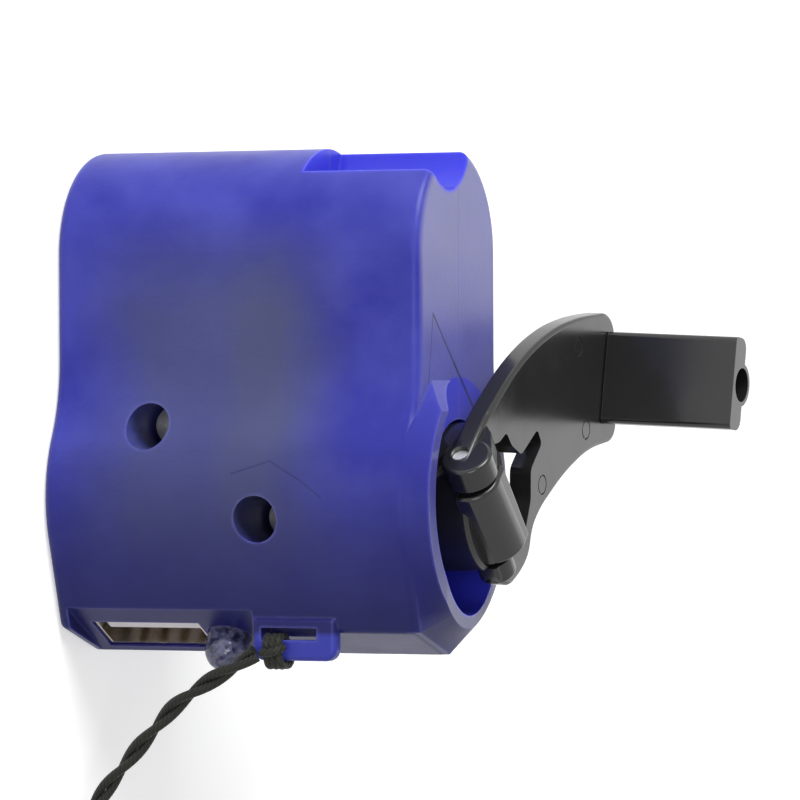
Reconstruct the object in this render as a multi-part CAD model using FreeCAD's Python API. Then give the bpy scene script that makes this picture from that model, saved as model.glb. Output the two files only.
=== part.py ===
import FreeCAD, Part
import math
import os

# Hand crank phone charger, in millimetres.
# The origin is where the crank axis meets the flat end that the charger stands on.
# +Z runs along the crank axis, +Y towards the knob channel, +X away from the USB side.

# Case
CASE_LEN = 44.0
HALF_WIDTH = 11.7
TOP_CENTRE_Y = 27.3
BULGE_R = 15.5
WAIST_R = 18.0
EDGE_A = (-11.5, -14.7)
EDGE_B = (-2.9, -17.5)
WALL = 1.9
END_ROUND = 1.2
EDGE_ROUND = 0.9
SEAM_GAP = 0.04

# Well and collar around the hub
WELL_R = 13.2
WELL_FLOOR_Z = 37.0
WELL_FLOOR = 2.0
WELL_WALL = 1.6
LAND_GAP = 0.35
LAND_ANGLES = (28.0, 125.0)
LAND_HOLLOW_ANGLES = (38.0, 115.0)
COLLAR_BASE_Z = 42.8
COLLAR_SINK = 0.5
COLLAR_TUCK = 0.05
COLLAR_STEP_Z = 43.9
COLLAR_STEP_INSET = 0.1
COLLAR_RIM_CENTRE = (-0.85, -0.3)
COLLAR_RIM_R = 14.3
COLLAR_RISE = 2.4
COLLAR_MID_RISE = 1.35
COLLAR_SLOPE = 0.106
COLLAR_END_Y = 9.6
COLLAR_END_SLOPE = 0.71
COLLAR_FAR_SLOPE = 0.35

# Channel that the folded knob lies in
CHANNEL_R = 6.3
CHANNEL_X = -2.7
CHANNEL_Y = 40.3
CHANNEL_END_Z = 28.5
CHANNEL_WALL = 1.7

# Recess, USB port and light on the slanted side
RECESS_TOP = (-12.0, -12.5)
RECESS_BOTTOM = (-2.9, -17.5)
RECESS_FROM_Z = 1.5
RECESS_TO_Z = 24.0
PORT_ALONG = 6.2
PORT_Z = 9.6
USB_WIDTH = 13.0
USB_HEIGHT = 5.8
USB_DEPTH = 14.0
USB_SHEET = 0.35
USB_SET_BACK = 0.3
TONGUE_WIDTH = 11.1
TONGUE_THICK = 1.9
TONGUE_SET_BACK = 0.9
CONTACT_WIDTH = 1.0
CONTACT_PITCH = 2.5
CONTACT_THICK = 0.15
LED_Z = 18.9
LED_R = 2.45
LED_OUT = 1.8
LED_IN = 3.4
LED_FLANGE_R = 2.7
LED_FLANGE = 1.0
LED_FRAME_R = 1.3
LEAD_R = 0.25
LEAD_PITCH = 1.27
LEAD_LEN = 3.6

# Lanyard lug
LUG_X = (-12.4, -10.8)
LUG_Z = (24.2, 34.1)
LUG_BOTTOM_Y = -17.9
LUG_BAR = 2.3
LUG_ROUND = 1.3
LUG_SIDE_ROUND = 0.6
EYE_TOP_Y = -14.25
EYE_Z = (25.2, 31.9)

# Case screws, along X
SCREW_PLACES = ((-2.2, 25.8), (8.0, 12.0))
SCREW_BORE_R = 2.6
SCREW_BOSS_R = 3.5
SCREW_SEAT_X = -5.0
SCREW_R = 1.0
SCREW_HEAD_R = 2.1
SCREW_HEAD = 1.4
SCREW_TIP_X = 7.0

# Gear train, all axes parallel to Z on X = 0
MODULE = 0.4
PRESSURE = math.radians(25.0)
ADDENDUM = 0.8
DEDENDUM = 1.05
BACKLASH = 0.06
CRANK_TEETH = 42
WHEEL1_TEETH = 36
WHEEL2_TEETH = 30
PINION_TEETH = 10
ROTOR_TEETH = 9
CRANK_GEAR_Z = (30.4, 32.9)
WHEEL1_Z = (26.4, 28.4)
WHEEL2_Z = (22.8, 24.8)
ROTOR_PINION_Z = (22.3, 25.3)
AXLE_R = 0.75
RUN = 0.05
FIXED = 0.02
LOWER_PLATE_Z = (20.6, 21.8)
UPPER_PLATE_Z = (33.3, 34.5)
PLATE_HALF = 8.6
PILLAR_R = 1.2
PILLAR_X = 7.4
PILLAR_YS = (15.7, 24.5)
SHAFT_R = 2.0
SHAFT_FROM_Z = 29.9
BUSH_R = 3.2
CLIP_R = 3.4
CLIP_THICK = 0.4

# Generator
CAN_R = 8.5
CAN_Z = (2.2, 18.6)
CAN_WALL = 0.6
CAP_Z = (18.6, 20.6)
ROTOR_R = 4.6
COIL_R = 7.7
ROTOR_SHAFT_R = 0.9

# Circuit board and what it carries
BOARD_GAP = 0.1
BOARD_THICK = 1.2
BOARD_IN = (3.6, 19.0)
BOARD_Z = (3.0, 20.0)
CAPACITOR_R = 2.4
CAPACITOR_LEN = 5.0
WIRE_ZS = (16.6, 17.9)
WIRE_R = 0.45
WIRE_GAP = 0.25

# Crank hub, in the well
HUB_R = 8.3
HUB_FROM_Z = 37.2
HUB_RISE = 4.0
HUB_FLAT = 7.2
HUB_LEDGE_RISE = 2.2
HUB_LEDGE_N = 0.3
HUB_CHAMFER = 0.4
HINGE_ANGLE = 40.5
HINGE_OFF = 4.1
HINGE_RISE = 3.9
HINGE_TILT = 4.0
BLOCK_FROM = -6.3
BLOCK_TO = 4.8
BLOCK_FRONT = (-3.5, -1.9)
BLOCK_BACK = (2.4, 3.4)
BLOCK_TOP = 7.4
BLOCK_ROUND = 0.5
BLOCK_CURVE_FROM = 1.0
BLOCK_CURVE_REACH = 4.0
NEAR_EAR_OUT = -10.0
NEAR_EAR_IN = -7.1
NEAR_EAR_R = 2.85
NEAR_EAR_CENTRE = (-0.3, 0.8)
FAR_EAR_IN = 5.1
FAR_EAR_OUT = 7.8
FAR_EAR_R = 2.1
FAR_EAR_REACH = 2.6
EAR_GAP = 0.2
HINGE_PIN_R = 0.95

# Crank arm, knob and knob pin
ARM_HALF_THICK = 1.3
ARM_ROUND = 0.5
KNOB_U = 8.8
KNOB_V = 34.6
KNOB_WIDTH = 10.6
KNOB_FRONT = 2.6
KNOB_BACK = 0.5
KNOB_SPINE_R = 2.45
KNOB_TURN = 42.9
KNOB_LEN = 16.0
KNOB_GAP = 0.15
KNOB_PIN_R = 1.2
KNOB_BORE_R = 1.95
KNOB_BORE_DEPTH = 4.0
ARM_BOSS_R = 3.4
EJECTOR_MARKS = ((-0.5, 29.5), (8.7, 25.6), (5.6, 12.6))
MARK_R = 1.15
MARK_GROOVE = 0.18

# Lanyard: two strands side by side, drawn as one round cord
CORD_R = 1.0
COIL_LIFT = 0.35
COIL_CENTRE = (-5.5, -53.0)
COIL_FIRST_R = 9.0
COIL_START = 150.0
COIL_GAP = 0.5
COIL_TURNS = 2.0
KNOT_R = 1.7
TIE_SHEET = 0.3
TIE_PLAY = 0.2

COIL_STEP = 2 * CORD_R + COIL_GAP

PARTS = "parts"
Z_AXIS = FreeCAD.Vector(0, 0, 1)
BIG = 200.0


def vec(x, y, z=0.0):
    return FreeCAD.Vector(x, y, z)


def cylinder(radius, start, end):
    """A round bar from one point to another."""
    axis = end - start
    return Part.makeCylinder(radius, axis.Length, start, axis)


def z_bar(radius, z_from, z_to, x=0.0, y=0.0):
    return cylinder(radius, vec(x, y, z_from), vec(x, y, z_to))


def box(x_from, x_to, y_from, y_to, z_from, z_to):
    return Part.makeBox(x_to - x_from, y_to - y_from, z_to - z_from, vec(x_from, y_from, z_from))


def prism(points, z_from, z_to):
    """A straight-sided solid over a polygon."""
    corners = [vec(x, y, z_from) for x, y in points]
    face = Part.Face(Part.makePolygon(corners + corners[:1]))
    return face.extrude(vec(0, 0, z_to - z_from))


def joined(shapes):
    whole = shapes[0]
    for shape in shapes[1:]:
        whole = whole.fuse(shape)
    return whole.removeSplitter()


def on_circle(centre, radius, angle):
    return (centre[0] + radius * math.cos(angle), centre[1] + radius * math.sin(angle))


def cross_lines(normal_a, reach_a, normal_b, reach_b):
    """Where two lines meet, each given by its normal and its distance from the origin."""
    det = normal_a[0] * normal_b[1] - normal_a[1] * normal_b[0]
    x = (reach_a * normal_b[1] - reach_b * normal_a[1]) / det
    y = (normal_a[0] * reach_b - normal_b[0] * reach_a) / det
    return (x, y)


# Case section

def waist_centre():
    across = HALF_WIDTH + WAIST_R
    return (across, math.sqrt((BULGE_R + WAIST_R) ** 2 - across ** 2))


def section_points(inset):
    """Where the round part of the case meets its slanted side, drawn inwards by inset."""
    bulge = BULGE_R - inset
    near_turn = math.atan2(EDGE_A[1], EDGE_A[0]) - math.acos(BULGE_R / math.hypot(*EDGE_A))
    far_turn = math.atan2(EDGE_B[1], EDGE_B[0]) + math.acos(BULGE_R / math.hypot(*EDGE_B))
    slant = math.atan2(EDGE_B[1] - EDGE_A[1], EDGE_B[0] - EDGE_A[0])
    slant_normal = (math.sin(slant), -math.cos(slant))
    slant_reach = EDGE_A[0] * slant_normal[0] + EDGE_A[1] * slant_normal[1] - inset
    near_normal = (math.cos(near_turn), math.sin(near_turn))
    far_normal = (math.cos(far_turn), math.sin(far_turn))
    edge_a = cross_lines(near_normal, bulge, slant_normal, slant_reach)
    edge_b = cross_lines(far_normal, bulge, slant_normal, slant_reach)
    return {"near_turn": near_turn, "far_turn": far_turn, "edge_a": edge_a, "edge_b": edge_b}


def section_wire(inset, z):
    """The outline of the case across Z, drawn inwards by inset."""
    bulge = BULGE_R - inset
    half = HALF_WIDTH - inset
    waist = WAIST_R + inset
    cx, cy = waist_centre()
    blend = math.atan2(cy, cx)
    points = section_points(inset)
    near_turn, far_turn = points["near_turn"], points["far_turn"]
    edge_a, edge_b = points["edge_a"], points["edge_b"]

    def at(point):
        return vec(point[0], point[1], z)

    def arc(start, middle, end):
        return Part.Arc(at(start), at(middle), at(end)).toShape()

    def line(start, end):
        return Part.LineSegment(at(start), at(end)).toShape()

    top = (0.0, TOP_CENTRE_Y)
    waist_far_mid = on_circle((cx, cy), waist, math.pi + blend / 2)
    waist_near_mid = (-waist_far_mid[0], waist_far_mid[1])
    blend_far = on_circle((0, 0), bulge, blend)
    blend_near = (-blend_far[0], blend_far[1])
    turn_far = on_circle((0, 0), bulge, far_turn)
    turn_near = on_circle((0, 0), bulge, near_turn)
    near_mid_angle = (near_turn + 2 * math.pi + math.pi - blend) / 2
    edges = [
        arc((-half, TOP_CENTRE_Y), on_circle(top, half, math.pi / 2), (half, TOP_CENTRE_Y)),
        line((half, TOP_CENTRE_Y), (half, cy)),
        arc((half, cy), waist_far_mid, blend_far),
        arc(blend_far, on_circle((0, 0), bulge, (blend + far_turn) / 2), turn_far),
        line(turn_far, edge_b),
        line(edge_b, edge_a),
        line(edge_a, turn_near),
        arc(turn_near, on_circle((0, 0), bulge, near_mid_angle), blend_near),
        arc(blend_near, waist_near_mid, (-half, cy)),
        line((-half, cy), (-half, TOP_CENTRE_Y)),
    ]
    return Part.Wire(edges)


def section_solid(inset, z_from, z_to):
    return Part.Face(section_wire(inset, z_from)).extrude(vec(0, 0, z_to - z_from))


def above_plane(point, rise_x, rise_y):
    """Everything over a plane through a point, given how fast the plane rises along X and Y."""
    block = Part.makeBox(2 * BIG, 2 * BIG, BIG, vec(-BIG, -BIG, 0))
    block.Placement = FreeCAD.Placement(point, FreeCAD.Rotation(Z_AXIS, vec(-rise_x, -rise_y, 1)))
    return block


def collar_outline(inset, z):
    """The case outline around the well alone: the round part and the slanted side's two edges."""
    points = section_points(inset)
    bulge = BULGE_R - inset
    edges = []
    for start, middle, end in ((0.0, 45.0, 90.0), (90.0, 135.0, 180.0)):
        ends = [vec(*on_circle((0, 0), bulge, math.radians(angle)), z) for angle in (start, middle, end)]
        edges.append(Part.Arc(*ends).toShape())
    near = [math.pi, (math.pi + points["near_turn"] + 2 * math.pi) / 2, points["near_turn"] + 2 * math.pi]
    ends = [vec(*on_circle((0, 0), bulge, angle), z) for angle in near]
    edges.append(Part.Arc(*ends).toShape())
    corners = [ends[2], vec(*points["edge_a"], z), vec(*points["edge_b"], z)]
    far = [points["far_turn"], points["far_turn"] / 2, 0.0]
    ends = [vec(*on_circle((0, 0), bulge, angle), z) for angle in far]
    corners.append(ends[0])
    for start, end in zip(corners, corners[1:]):
        edges.append(Part.LineSegment(start, end).toShape())
    edges.append(Part.Arc(*ends).toShape())
    return Part.Wire(edges)


def collar_rim():
    """The round outer edge of the collar's land, which slopes away from the USB side."""
    stops = (0.0, 90.0, 180.0, 198.0, 241.0, 275.0, 300.0, 360.0)
    edges = []
    for start, end in zip(stops, stops[1:]):
        ends = []
        for angle in (start, (start + end) / 2, end):
            x, y = on_circle(COLLAR_RIM_CENTRE, COLLAR_RIM_R, math.radians(angle))
            ends.append(vec(x, y, CASE_LEN + COLLAR_MID_RISE - COLLAR_SLOPE * x))
        edges.append(Part.Arc(*ends).toShape())
    return Part.Wire(edges)


def collar():
    """The near and lower edge of the well, raised over the crank face."""
    base = collar_outline(COLLAR_TUCK, COLLAR_BASE_Z - COLLAR_SINK)
    foot = Part.makeLoft([base, collar_outline(COLLAR_STEP_INSET, COLLAR_STEP_Z)], True, True)
    lip = Part.makeLoft([collar_outline(COLLAR_STEP_INSET, COLLAR_STEP_Z), collar_rim()], True, True)
    crest = CASE_LEN + COLLAR_RISE
    far_half = box(0, BIG, -BIG, BIG, 0, BIG)
    ring = foot.fuse(lip)
    for cut in (
        above_plane(vec(0, 0, crest), 0, 0),
        above_plane(vec(0, COLLAR_END_Y, crest), 0, -COLLAR_END_SLOPE),
        above_plane(vec(0, 0, COLLAR_BASE_Z), 0, -COLLAR_FAR_SLOPE).common(far_half),
    ):
        ring = ring.cut(cut)
    return ring


def land(angles, inner, z_from, z_to):
    """The part of the crank face that reaches in to the hub, on the side of the knob channel."""
    low, high = [math.radians(angle) for angle in angles]
    far = [on_circle((0, 0), 2 * BULGE_R, angle) for angle in (low, (low + high) / 2, high)]
    corners = [(0.0, 0.0)] + far
    return prism(corners, z_from, z_to).cut(z_bar(inner, z_from - 1, z_to + 1))


def channel(grow, z_from):
    return z_bar(CHANNEL_R + grow, z_from, CASE_LEN + 5.0, CHANNEL_X, CHANNEL_Y)


def port_frame():
    """The place of the port on the recess, its direction along the slant and its way out."""
    dx = RECESS_BOTTOM[0] - RECESS_TOP[0]
    dy = RECESS_BOTTOM[1] - RECESS_TOP[1]
    size = math.hypot(dx, dy)
    along = vec(dx / size, dy / size)
    out = vec(along.y, -along.x)
    place = vec(*RECESS_TOP) + along * PORT_ALONG
    return place, along, out


def in_port_frame(shape):
    """Moves a shape from the port's own directions: X along the slant, Y inwards, Z along the case."""
    place, along, out = port_frame()
    shape.rotate(vec(0, 0), Z_AXIS, math.degrees(math.atan2(along.y, along.x)))
    shape.translate(place)
    return shape


def slanted_box(side_from, side_to, in_from, in_to, z_from, z_to):
    return in_port_frame(box(side_from, side_to, in_from, in_to, z_from, z_to))


def slanted_bar(radius, side, in_from, in_to, z):
    return in_port_frame(cylinder(radius, vec(side, in_from, z), vec(side, in_to, z)))


# Case shells

def edges_where(shape, test):
    return [edge for edge in shape.Edges if test(edge.BoundBox)]


def case_body():
    """The outside of the case, with its ends and long edges rounded, the collar and the lug."""
    body = section_solid(0, 0, CASE_LEN)
    long_edges = edges_where(body, lambda b: b.ZLength > CASE_LEN - 1 and b.YMax < EDGE_A[1] + 0.1)
    body = body.makeFillet(EDGE_ROUND, long_edges)
    end_edges = edges_where(body, lambda b: b.ZLength < 0.01)
    body = body.makeFillet(END_ROUND, end_edges)
    return joined([body, collar(), lug()])


def lug():
    """The eye for the lanyard, a bar that stands off the slanted side."""
    low, high = LUG_X
    outer = box(low, high, LUG_BOTTOM_Y, EDGE_A[1] + 1.6, LUG_Z[0], LUG_Z[1])
    corner = edges_where(outer, lambda b: b.XLength > 1 and b.YMax < LUG_BOTTOM_Y + 0.01)
    outer = outer.makeFillet(LUG_ROUND, corner)
    side = edges_where(outer, lambda b: b.XMax < low + 0.01 and b.ZMax > LUG_Z[0] + 0.01)
    return outer.makeFillet(LUG_SIDE_ROUND, side)


def lug_eye():
    low, high = LUG_X
    bar_top = LUG_BOTTOM_Y + LUG_BAR
    eye = box(low - 1, high + 1.2, bar_top, EYE_TOP_Y, EYE_Z[0], EYE_Z[1])
    return eye


def recess_cut():
    """What is cut off the slanted side so that the port and the light look out squarely."""
    return slanted_box(-BIG, BIG, -BIG, 0, RECESS_FROM_Z, RECESS_TO_Z)


def recess_keep():
    """The part of the recess cut that lies on the slanted side alone."""
    low = RECESS_BOTTOM[1] - 3.0
    return box(RECESS_TOP[0] - 3.0, RECESS_BOTTOM[0] + 0.3, low, RECESS_TOP[1] + 2.0, 0, CASE_LEN)


def case_hollow():
    """The space inside the case, without the well and the channel that reach into it."""
    hollow = section_solid(WALL, WALL, CASE_LEN - WALL)
    floor = WELL_FLOOR_Z - WELL_FLOOR
    well_wall = z_bar(WELL_R + WELL_WALL, floor, CASE_LEN + 5.0)
    under_land = land(LAND_HOLLOW_ANGLES, HUB_R + LAND_GAP + WELL_WALL, floor - 1, CASE_LEN - WALL)
    well_wall = well_wall.cut(under_land)
    knob_wall = channel(CHANNEL_WALL, CHANNEL_END_Z - CHANNEL_WALL)
    return hollow.cut(well_wall).cut(knob_wall)


def port_cuts():
    cuts = [
        slanted_box(
            -USB_HEIGHT / 2 - 0.15, USB_HEIGHT / 2 + 0.15, -2.0, 6.0,
            PORT_Z - USB_WIDTH / 2 - 0.1, PORT_Z + USB_WIDTH / 2 + 0.1,
        ),
        slanted_bar(LED_R + 0.07, 0, -3.0, 6.0, LED_Z),
    ]
    return cuts


def screw_seat(y, z):
    """The boss that holds a screw's head, and the holes in it."""
    boss = cylinder(SCREW_BOSS_R, vec(-BULGE_R, y, z), vec(-SEAM_GAP / 2, y, z))
    boss = boss.common(section_solid(WALL / 2, WALL / 2, CASE_LEN - WALL / 2))
    bore = cylinder(SCREW_BORE_R, vec(-BULGE_R - 1, y, z), vec(SCREW_SEAT_X, y, z))
    hole = cylinder(SCREW_R + 0.15, vec(SCREW_SEAT_X - 1, y, z), vec(1, y, z))
    return boss, bore.fuse(hole)


def screw_post(y, z):
    """The post that a screw bites into."""
    post = cylinder(SCREW_BOSS_R - 0.7, vec(SEAM_GAP / 2, y, z), vec(BULGE_R, y, z))
    post = post.common(section_solid(WALL / 2, WALL / 2, CASE_LEN - WALL / 2))
    hole = cylinder(SCREW_R + FIXED, vec(-1, y, z), vec(SCREW_TIP_X + 0.5, y, z))
    return post, hole


def make_shells():
    """The hollow case, cut in two along the seam on X = 0."""
    shell = case_body()
    shell = shell.cut(recess_cut().common(recess_keep()))
    shell = shell.cut(case_hollow())
    well = z_bar(WELL_R, WELL_FLOOR_Z, CASE_LEN + 10.0)
    well = well.cut(land(LAND_ANGLES, HUB_R + LAND_GAP, WELL_FLOOR_Z - 1, CASE_LEN))
    bush_hole = z_bar(BUSH_R + FIXED, WELL_FLOOR_Z - WELL_FLOOR - 1, WELL_FLOOR_Z + 1)
    shell = shell.cut(well).cut(bush_hole).cut(channel(0, CHANNEL_END_Z)).cut(lug_eye())
    for cut in port_cuts():
        shell = shell.cut(cut)
    front = shell.common(box(-BIG, -SEAM_GAP / 2, -BIG, BIG, -BIG, BIG))
    rear = shell.common(box(SEAM_GAP / 2, BIG, -BIG, BIG, -BIG, BIG))
    for y, z in SCREW_PLACES:
        boss, bore = screw_seat(y, z)
        front = front.fuse(boss).cut(bore)
        post, hole = screw_post(y, z)
        rear = rear.fuse(post).cut(hole)
    return front.removeSplitter(), rear.removeSplitter()


def make_case_screws():
    screws = []
    for y, z in SCREW_PLACES:
        seat = SCREW_SEAT_X
        head = cylinder(SCREW_HEAD_R, vec(seat - SCREW_HEAD, y, z), vec(seat, y, z))
        stem = cylinder(SCREW_R, vec(seat, y, z), vec(SCREW_TIP_X, y, z))
        slot = box(seat - SCREW_HEAD - 1, seat - 0.7, y - 1.3, y + 1.3, z - 0.25, z + 0.25)
        cross = box(seat - SCREW_HEAD - 1, seat - 0.7, y - 0.25, y + 0.25, z - 1.3, z + 1.3)
        screws.append(head.fuse(stem).cut(slot).cut(cross).removeSplitter())
    return Part.makeCompound(screws)


# Gears

def involute(base, radius):
    """The angle that an involute has turned through where it reaches a radius."""
    if radius <= base:
        return 0.0
    roll = math.sqrt((radius / base) ** 2 - 1)
    return roll - math.atan(roll)


def gear_axes():
    """The Y of each axis of the train, from the crank to the rotor."""
    first = (CRANK_TEETH + PINION_TEETH) * MODULE / 2
    second = first + (WHEEL1_TEETH + PINION_TEETH) * MODULE / 2
    rotor = second + (WHEEL2_TEETH + ROTOR_TEETH) * MODULE / 2
    return first, second, rotor


def gear(teeth, y, z_range, first_tooth):
    """A spur gear whose first tooth points at the given angle."""
    pitch_r = MODULE * teeth / 2
    base = pitch_r * math.cos(PRESSURE)
    tip = pitch_r + ADDENDUM * MODULE
    root = pitch_r - DEDENDUM * MODULE
    half_at_pitch = math.pi / (2 * teeth) - BACKLASH / (2 * pitch_r)
    start = max(base, root)
    radii = [start + (tip - start) * share for share in (0.0, 0.35, 0.7, 1.0)]
    points = []
    for tooth in range(teeth):
        middle = first_tooth + 2 * math.pi * tooth / teeth
        flank = []
        for radius in radii:
            half = half_at_pitch + involute(base, pitch_r) - involute(base, radius)
            flank.append((radius, half))
        foot = flank[0][1]
        side = [on_circle((0, y), root, middle - foot)] if root < start else []
        side += [on_circle((0, y), radius, middle - half) for radius, half in flank]
        points += side
        back = [on_circle((0, y), radius, middle + half) for radius, half in reversed(flank)]
        back += [on_circle((0, y), root, middle + foot)] if root < start else []
        points += back
    return prism(points, z_range[0], z_range[1])


def make_crank_gear():
    wheel = gear(CRANK_TEETH, 0, CRANK_GEAR_Z, math.pi / 2)
    return wheel.cut(z_bar(SHAFT_R + FIXED, 0, CASE_LEN))


def double_gear(wheel_teeth, y, wheel_z, pinion_to, boss_to):
    """A wheel and a pinion in one piece, with a boss at each end that keeps it in its place."""
    low = LOWER_PLATE_Z[1] + 0.12
    wheel = gear(wheel_teeth, y, wheel_z, math.pi / 2)
    gap_down = -math.pi / 2 + math.pi / PINION_TEETH
    pinion = gear(PINION_TEETH, y, (wheel_z[1], pinion_to), gap_down)
    piece = joined([wheel, pinion, z_bar(1.5, low, wheel_z[0], 0, y), z_bar(1.4, pinion_to, boss_to, 0, y)])
    return piece.cut(z_bar(AXLE_R + RUN, 0, CASE_LEN, 0, y))


def make_first_gear():
    top = UPPER_PLATE_Z[0] - 0.12
    return double_gear(WHEEL1_TEETH, gear_axes()[0], WHEEL1_Z, CRANK_GEAR_Z[1] + 0.05, top)


def make_second_gear():
    top = UPPER_PLATE_Z[0] - 0.12
    return double_gear(WHEEL2_TEETH, gear_axes()[1], WHEEL2_Z, WHEEL1_Z[1] + 0.6, top)


def make_axle(y):
    return z_bar(AXLE_R, LOWER_PLATE_Z[0], UPPER_PLATE_Z[1], 0, y)


def make_lower_plate():
    """The plate that the generator is fixed to and that carries the lower ends of the axles."""
    first, second, rotor = gear_axes()
    low = first - 5.0
    body = box(-PLATE_HALF, PLATE_HALF, low, TOP_CENTRE_Y, *LOWER_PLATE_Z)
    cap = z_bar(PLATE_HALF, LOWER_PLATE_Z[0], LOWER_PLATE_Z[1], 0, TOP_CENTRE_Y)
    plate = joined([body, cap])
    for y in (first, second):
        plate = plate.cut(z_bar(AXLE_R + FIXED, 0, CASE_LEN, 0, y))
    return plate.cut(z_bar(2.6, 0, CASE_LEN, 0, rotor))


def make_upper_plate():
    first, second, rotor = gear_axes()
    body = box(-PLATE_HALF, PLATE_HALF, 0, PILLAR_YS[1] + 2.0, *UPPER_PLATE_Z)
    end = z_bar(PLATE_HALF, UPPER_PLATE_Z[0], UPPER_PLATE_Z[1])
    plate = joined([body, end])
    for y in (first, second):
        plate = plate.cut(z_bar(AXLE_R + FIXED, 0, CASE_LEN, 0, y))
    return plate.cut(z_bar(SHAFT_R + RUN, 0, CASE_LEN))


def make_pillars():
    pillars = []
    for side in (-PILLAR_X, PILLAR_X):
        for y in PILLAR_YS:
            pillars.append(z_bar(PILLAR_R, LOWER_PLATE_Z[1], UPPER_PLATE_Z[0], side, y))
    return Part.makeCompound(pillars)


def make_drive_shaft():
    return z_bar(SHAFT_R, SHAFT_FROM_Z, HUB_FROM_Z + 6.0)


def make_bush():
    """The flanged bush in the floor of the well that the crank turns in."""
    flange_to = WELL_FLOOR_Z - WELL_FLOOR
    body = z_bar(BUSH_R, flange_to, WELL_FLOOR_Z)
    flange = z_bar(BUSH_R + 1.2, UPPER_PLATE_Z[1], flange_to)
    return body.fuse(flange).removeSplitter().cut(z_bar(SHAFT_R + RUN, 0, CASE_LEN))


def make_clip():
    """The spring clip under the crank gear, open on one side."""
    ring = z_bar(CLIP_R, CRANK_GEAR_Z[0] - CLIP_THICK, CRANK_GEAR_Z[0])
    ring = ring.cut(z_bar(SHAFT_R + FIXED, 0, CASE_LEN))
    return ring.cut(box(-1.3, 1.3, -CLIP_R - 1, 0, 0, CASE_LEN))


# Generator

def rotor_y():
    return gear_axes()[2]


def make_can():
    y = rotor_y()
    outer = z_bar(CAN_R, CAN_Z[0], CAN_Z[1], 0, y)
    return outer.cut(z_bar(CAN_R - CAN_WALL, CAN_Z[0] + CAN_WALL, CAN_Z[1] + 1, 0, y))


def make_cap():
    y = rotor_y()
    disc = z_bar(CAN_R, CAP_Z[0], CAP_Z[1], 0, y)
    spigot = z_bar(CAN_R - CAN_WALL - 0.05, CAP_Z[0] - 1.0, CAP_Z[0], 0, y)
    ring = disc.fuse(spigot).removeSplitter()
    return ring.cut(z_bar(ROTOR_SHAFT_R + RUN, 0, CASE_LEN, 0, y))


def make_coil():
    """The winding, a ring between the rotor and the can, with its slots between the poles."""
    y = rotor_y()
    low = CAN_Z[0] + CAN_WALL + 0.4
    high = CAP_Z[0] - 1.3
    ring = z_bar(COIL_R, low, high, 0, y).cut(z_bar(ROTOR_R + 0.5, 0, CASE_LEN, 0, y))
    for pole in range(6):
        angle = math.pi * pole / 3
        slot = box(ROTOR_R + 1.2, COIL_R + 1, -0.5, 0.5, low - 1, high + 1)
        slot.rotate(vec(0, 0), Z_AXIS, math.degrees(angle))
        slot.translate(vec(0, y))
        ring = ring.cut(slot)
    return ring


def make_rotor():
    y = rotor_y()
    magnet = z_bar(ROTOR_R, CAN_Z[0] + CAN_WALL + 0.8, CAP_Z[0] - 1.8, 0, y)
    return magnet.cut(z_bar(ROTOR_SHAFT_R + FIXED, 0, CASE_LEN, 0, y))


def make_rotor_shaft():
    return z_bar(ROTOR_SHAFT_R, CAN_Z[0] + CAN_WALL + 0.2, ROTOR_PINION_Z[1] + 0.6, 0, rotor_y())


def make_rotor_pinion():
    pinion = gear(ROTOR_TEETH, rotor_y(), ROTOR_PINION_Z, math.pi / 2)
    return pinion.cut(z_bar(ROTOR_SHAFT_R + FIXED, 0, CASE_LEN, 0, rotor_y()))


# Electronics

def make_usb_shell():
    half_w = USB_WIDTH / 2
    half_h = USB_HEIGHT / 2
    outer = slanted_box(-half_h, half_h, USB_SET_BACK, USB_DEPTH, PORT_Z - half_w, PORT_Z + half_w)
    inner = slanted_box(
        -half_h + USB_SHEET, half_h - USB_SHEET, USB_SET_BACK - 1, USB_DEPTH - USB_SHEET,
        PORT_Z - half_w + USB_SHEET, PORT_Z + half_w - USB_SHEET,
    )
    return outer.cut(inner)


def tongue_sides():
    """How far the tongue lies to the near side of the port's middle."""
    return (-0.95 - TONGUE_THICK / 2, -0.95 + TONGUE_THICK / 2)


def make_usb_tongue():
    low, high = tongue_sides()
    half = TONGUE_WIDTH / 2
    blade = slanted_box(low, high, TONGUE_SET_BACK, USB_DEPTH - 3.0, PORT_Z - half, PORT_Z + half)
    half_w = USB_WIDTH / 2 - USB_SHEET - 0.05
    half_h = USB_HEIGHT / 2 - USB_SHEET - 0.05
    root = slanted_box(
        -half_h, half_h, USB_DEPTH - 3.0, USB_DEPTH - USB_SHEET - 0.05,
        PORT_Z - half_w, PORT_Z + half_w,
    )
    return blade.fuse(root).removeSplitter()


def make_usb_contacts():
    strips = []
    side = tongue_sides()[1]
    for place in (-1.5, -0.5, 0.5, 1.5):
        z = PORT_Z + place * CONTACT_PITCH
        strips.append(slanted_box(
            side, side + CONTACT_THICK, TONGUE_SET_BACK + 0.6, USB_DEPTH - 3.4,
            z - CONTACT_WIDTH / 2, z + CONTACT_WIDTH / 2,
        ))
    return Part.makeCompound(strips)


def make_led_lens():
    """A round clear lamp with a domed front, hollow where the lead frame stands."""
    stem = slanted_bar(LED_R, 0, -LED_OUT, LED_IN, LED_Z)
    flange = slanted_bar(LED_FLANGE_R, 0, LED_IN - LED_FLANGE, LED_IN, LED_Z)
    dome = in_port_frame(Part.makeSphere(LED_R, vec(0, -LED_OUT, LED_Z)))
    whole = joined([stem, dome, flange])
    return whole.cut(slanted_bar(LED_FRAME_R, 0, -LED_OUT + 0.5, LED_IN + 1, LED_Z))


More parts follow.
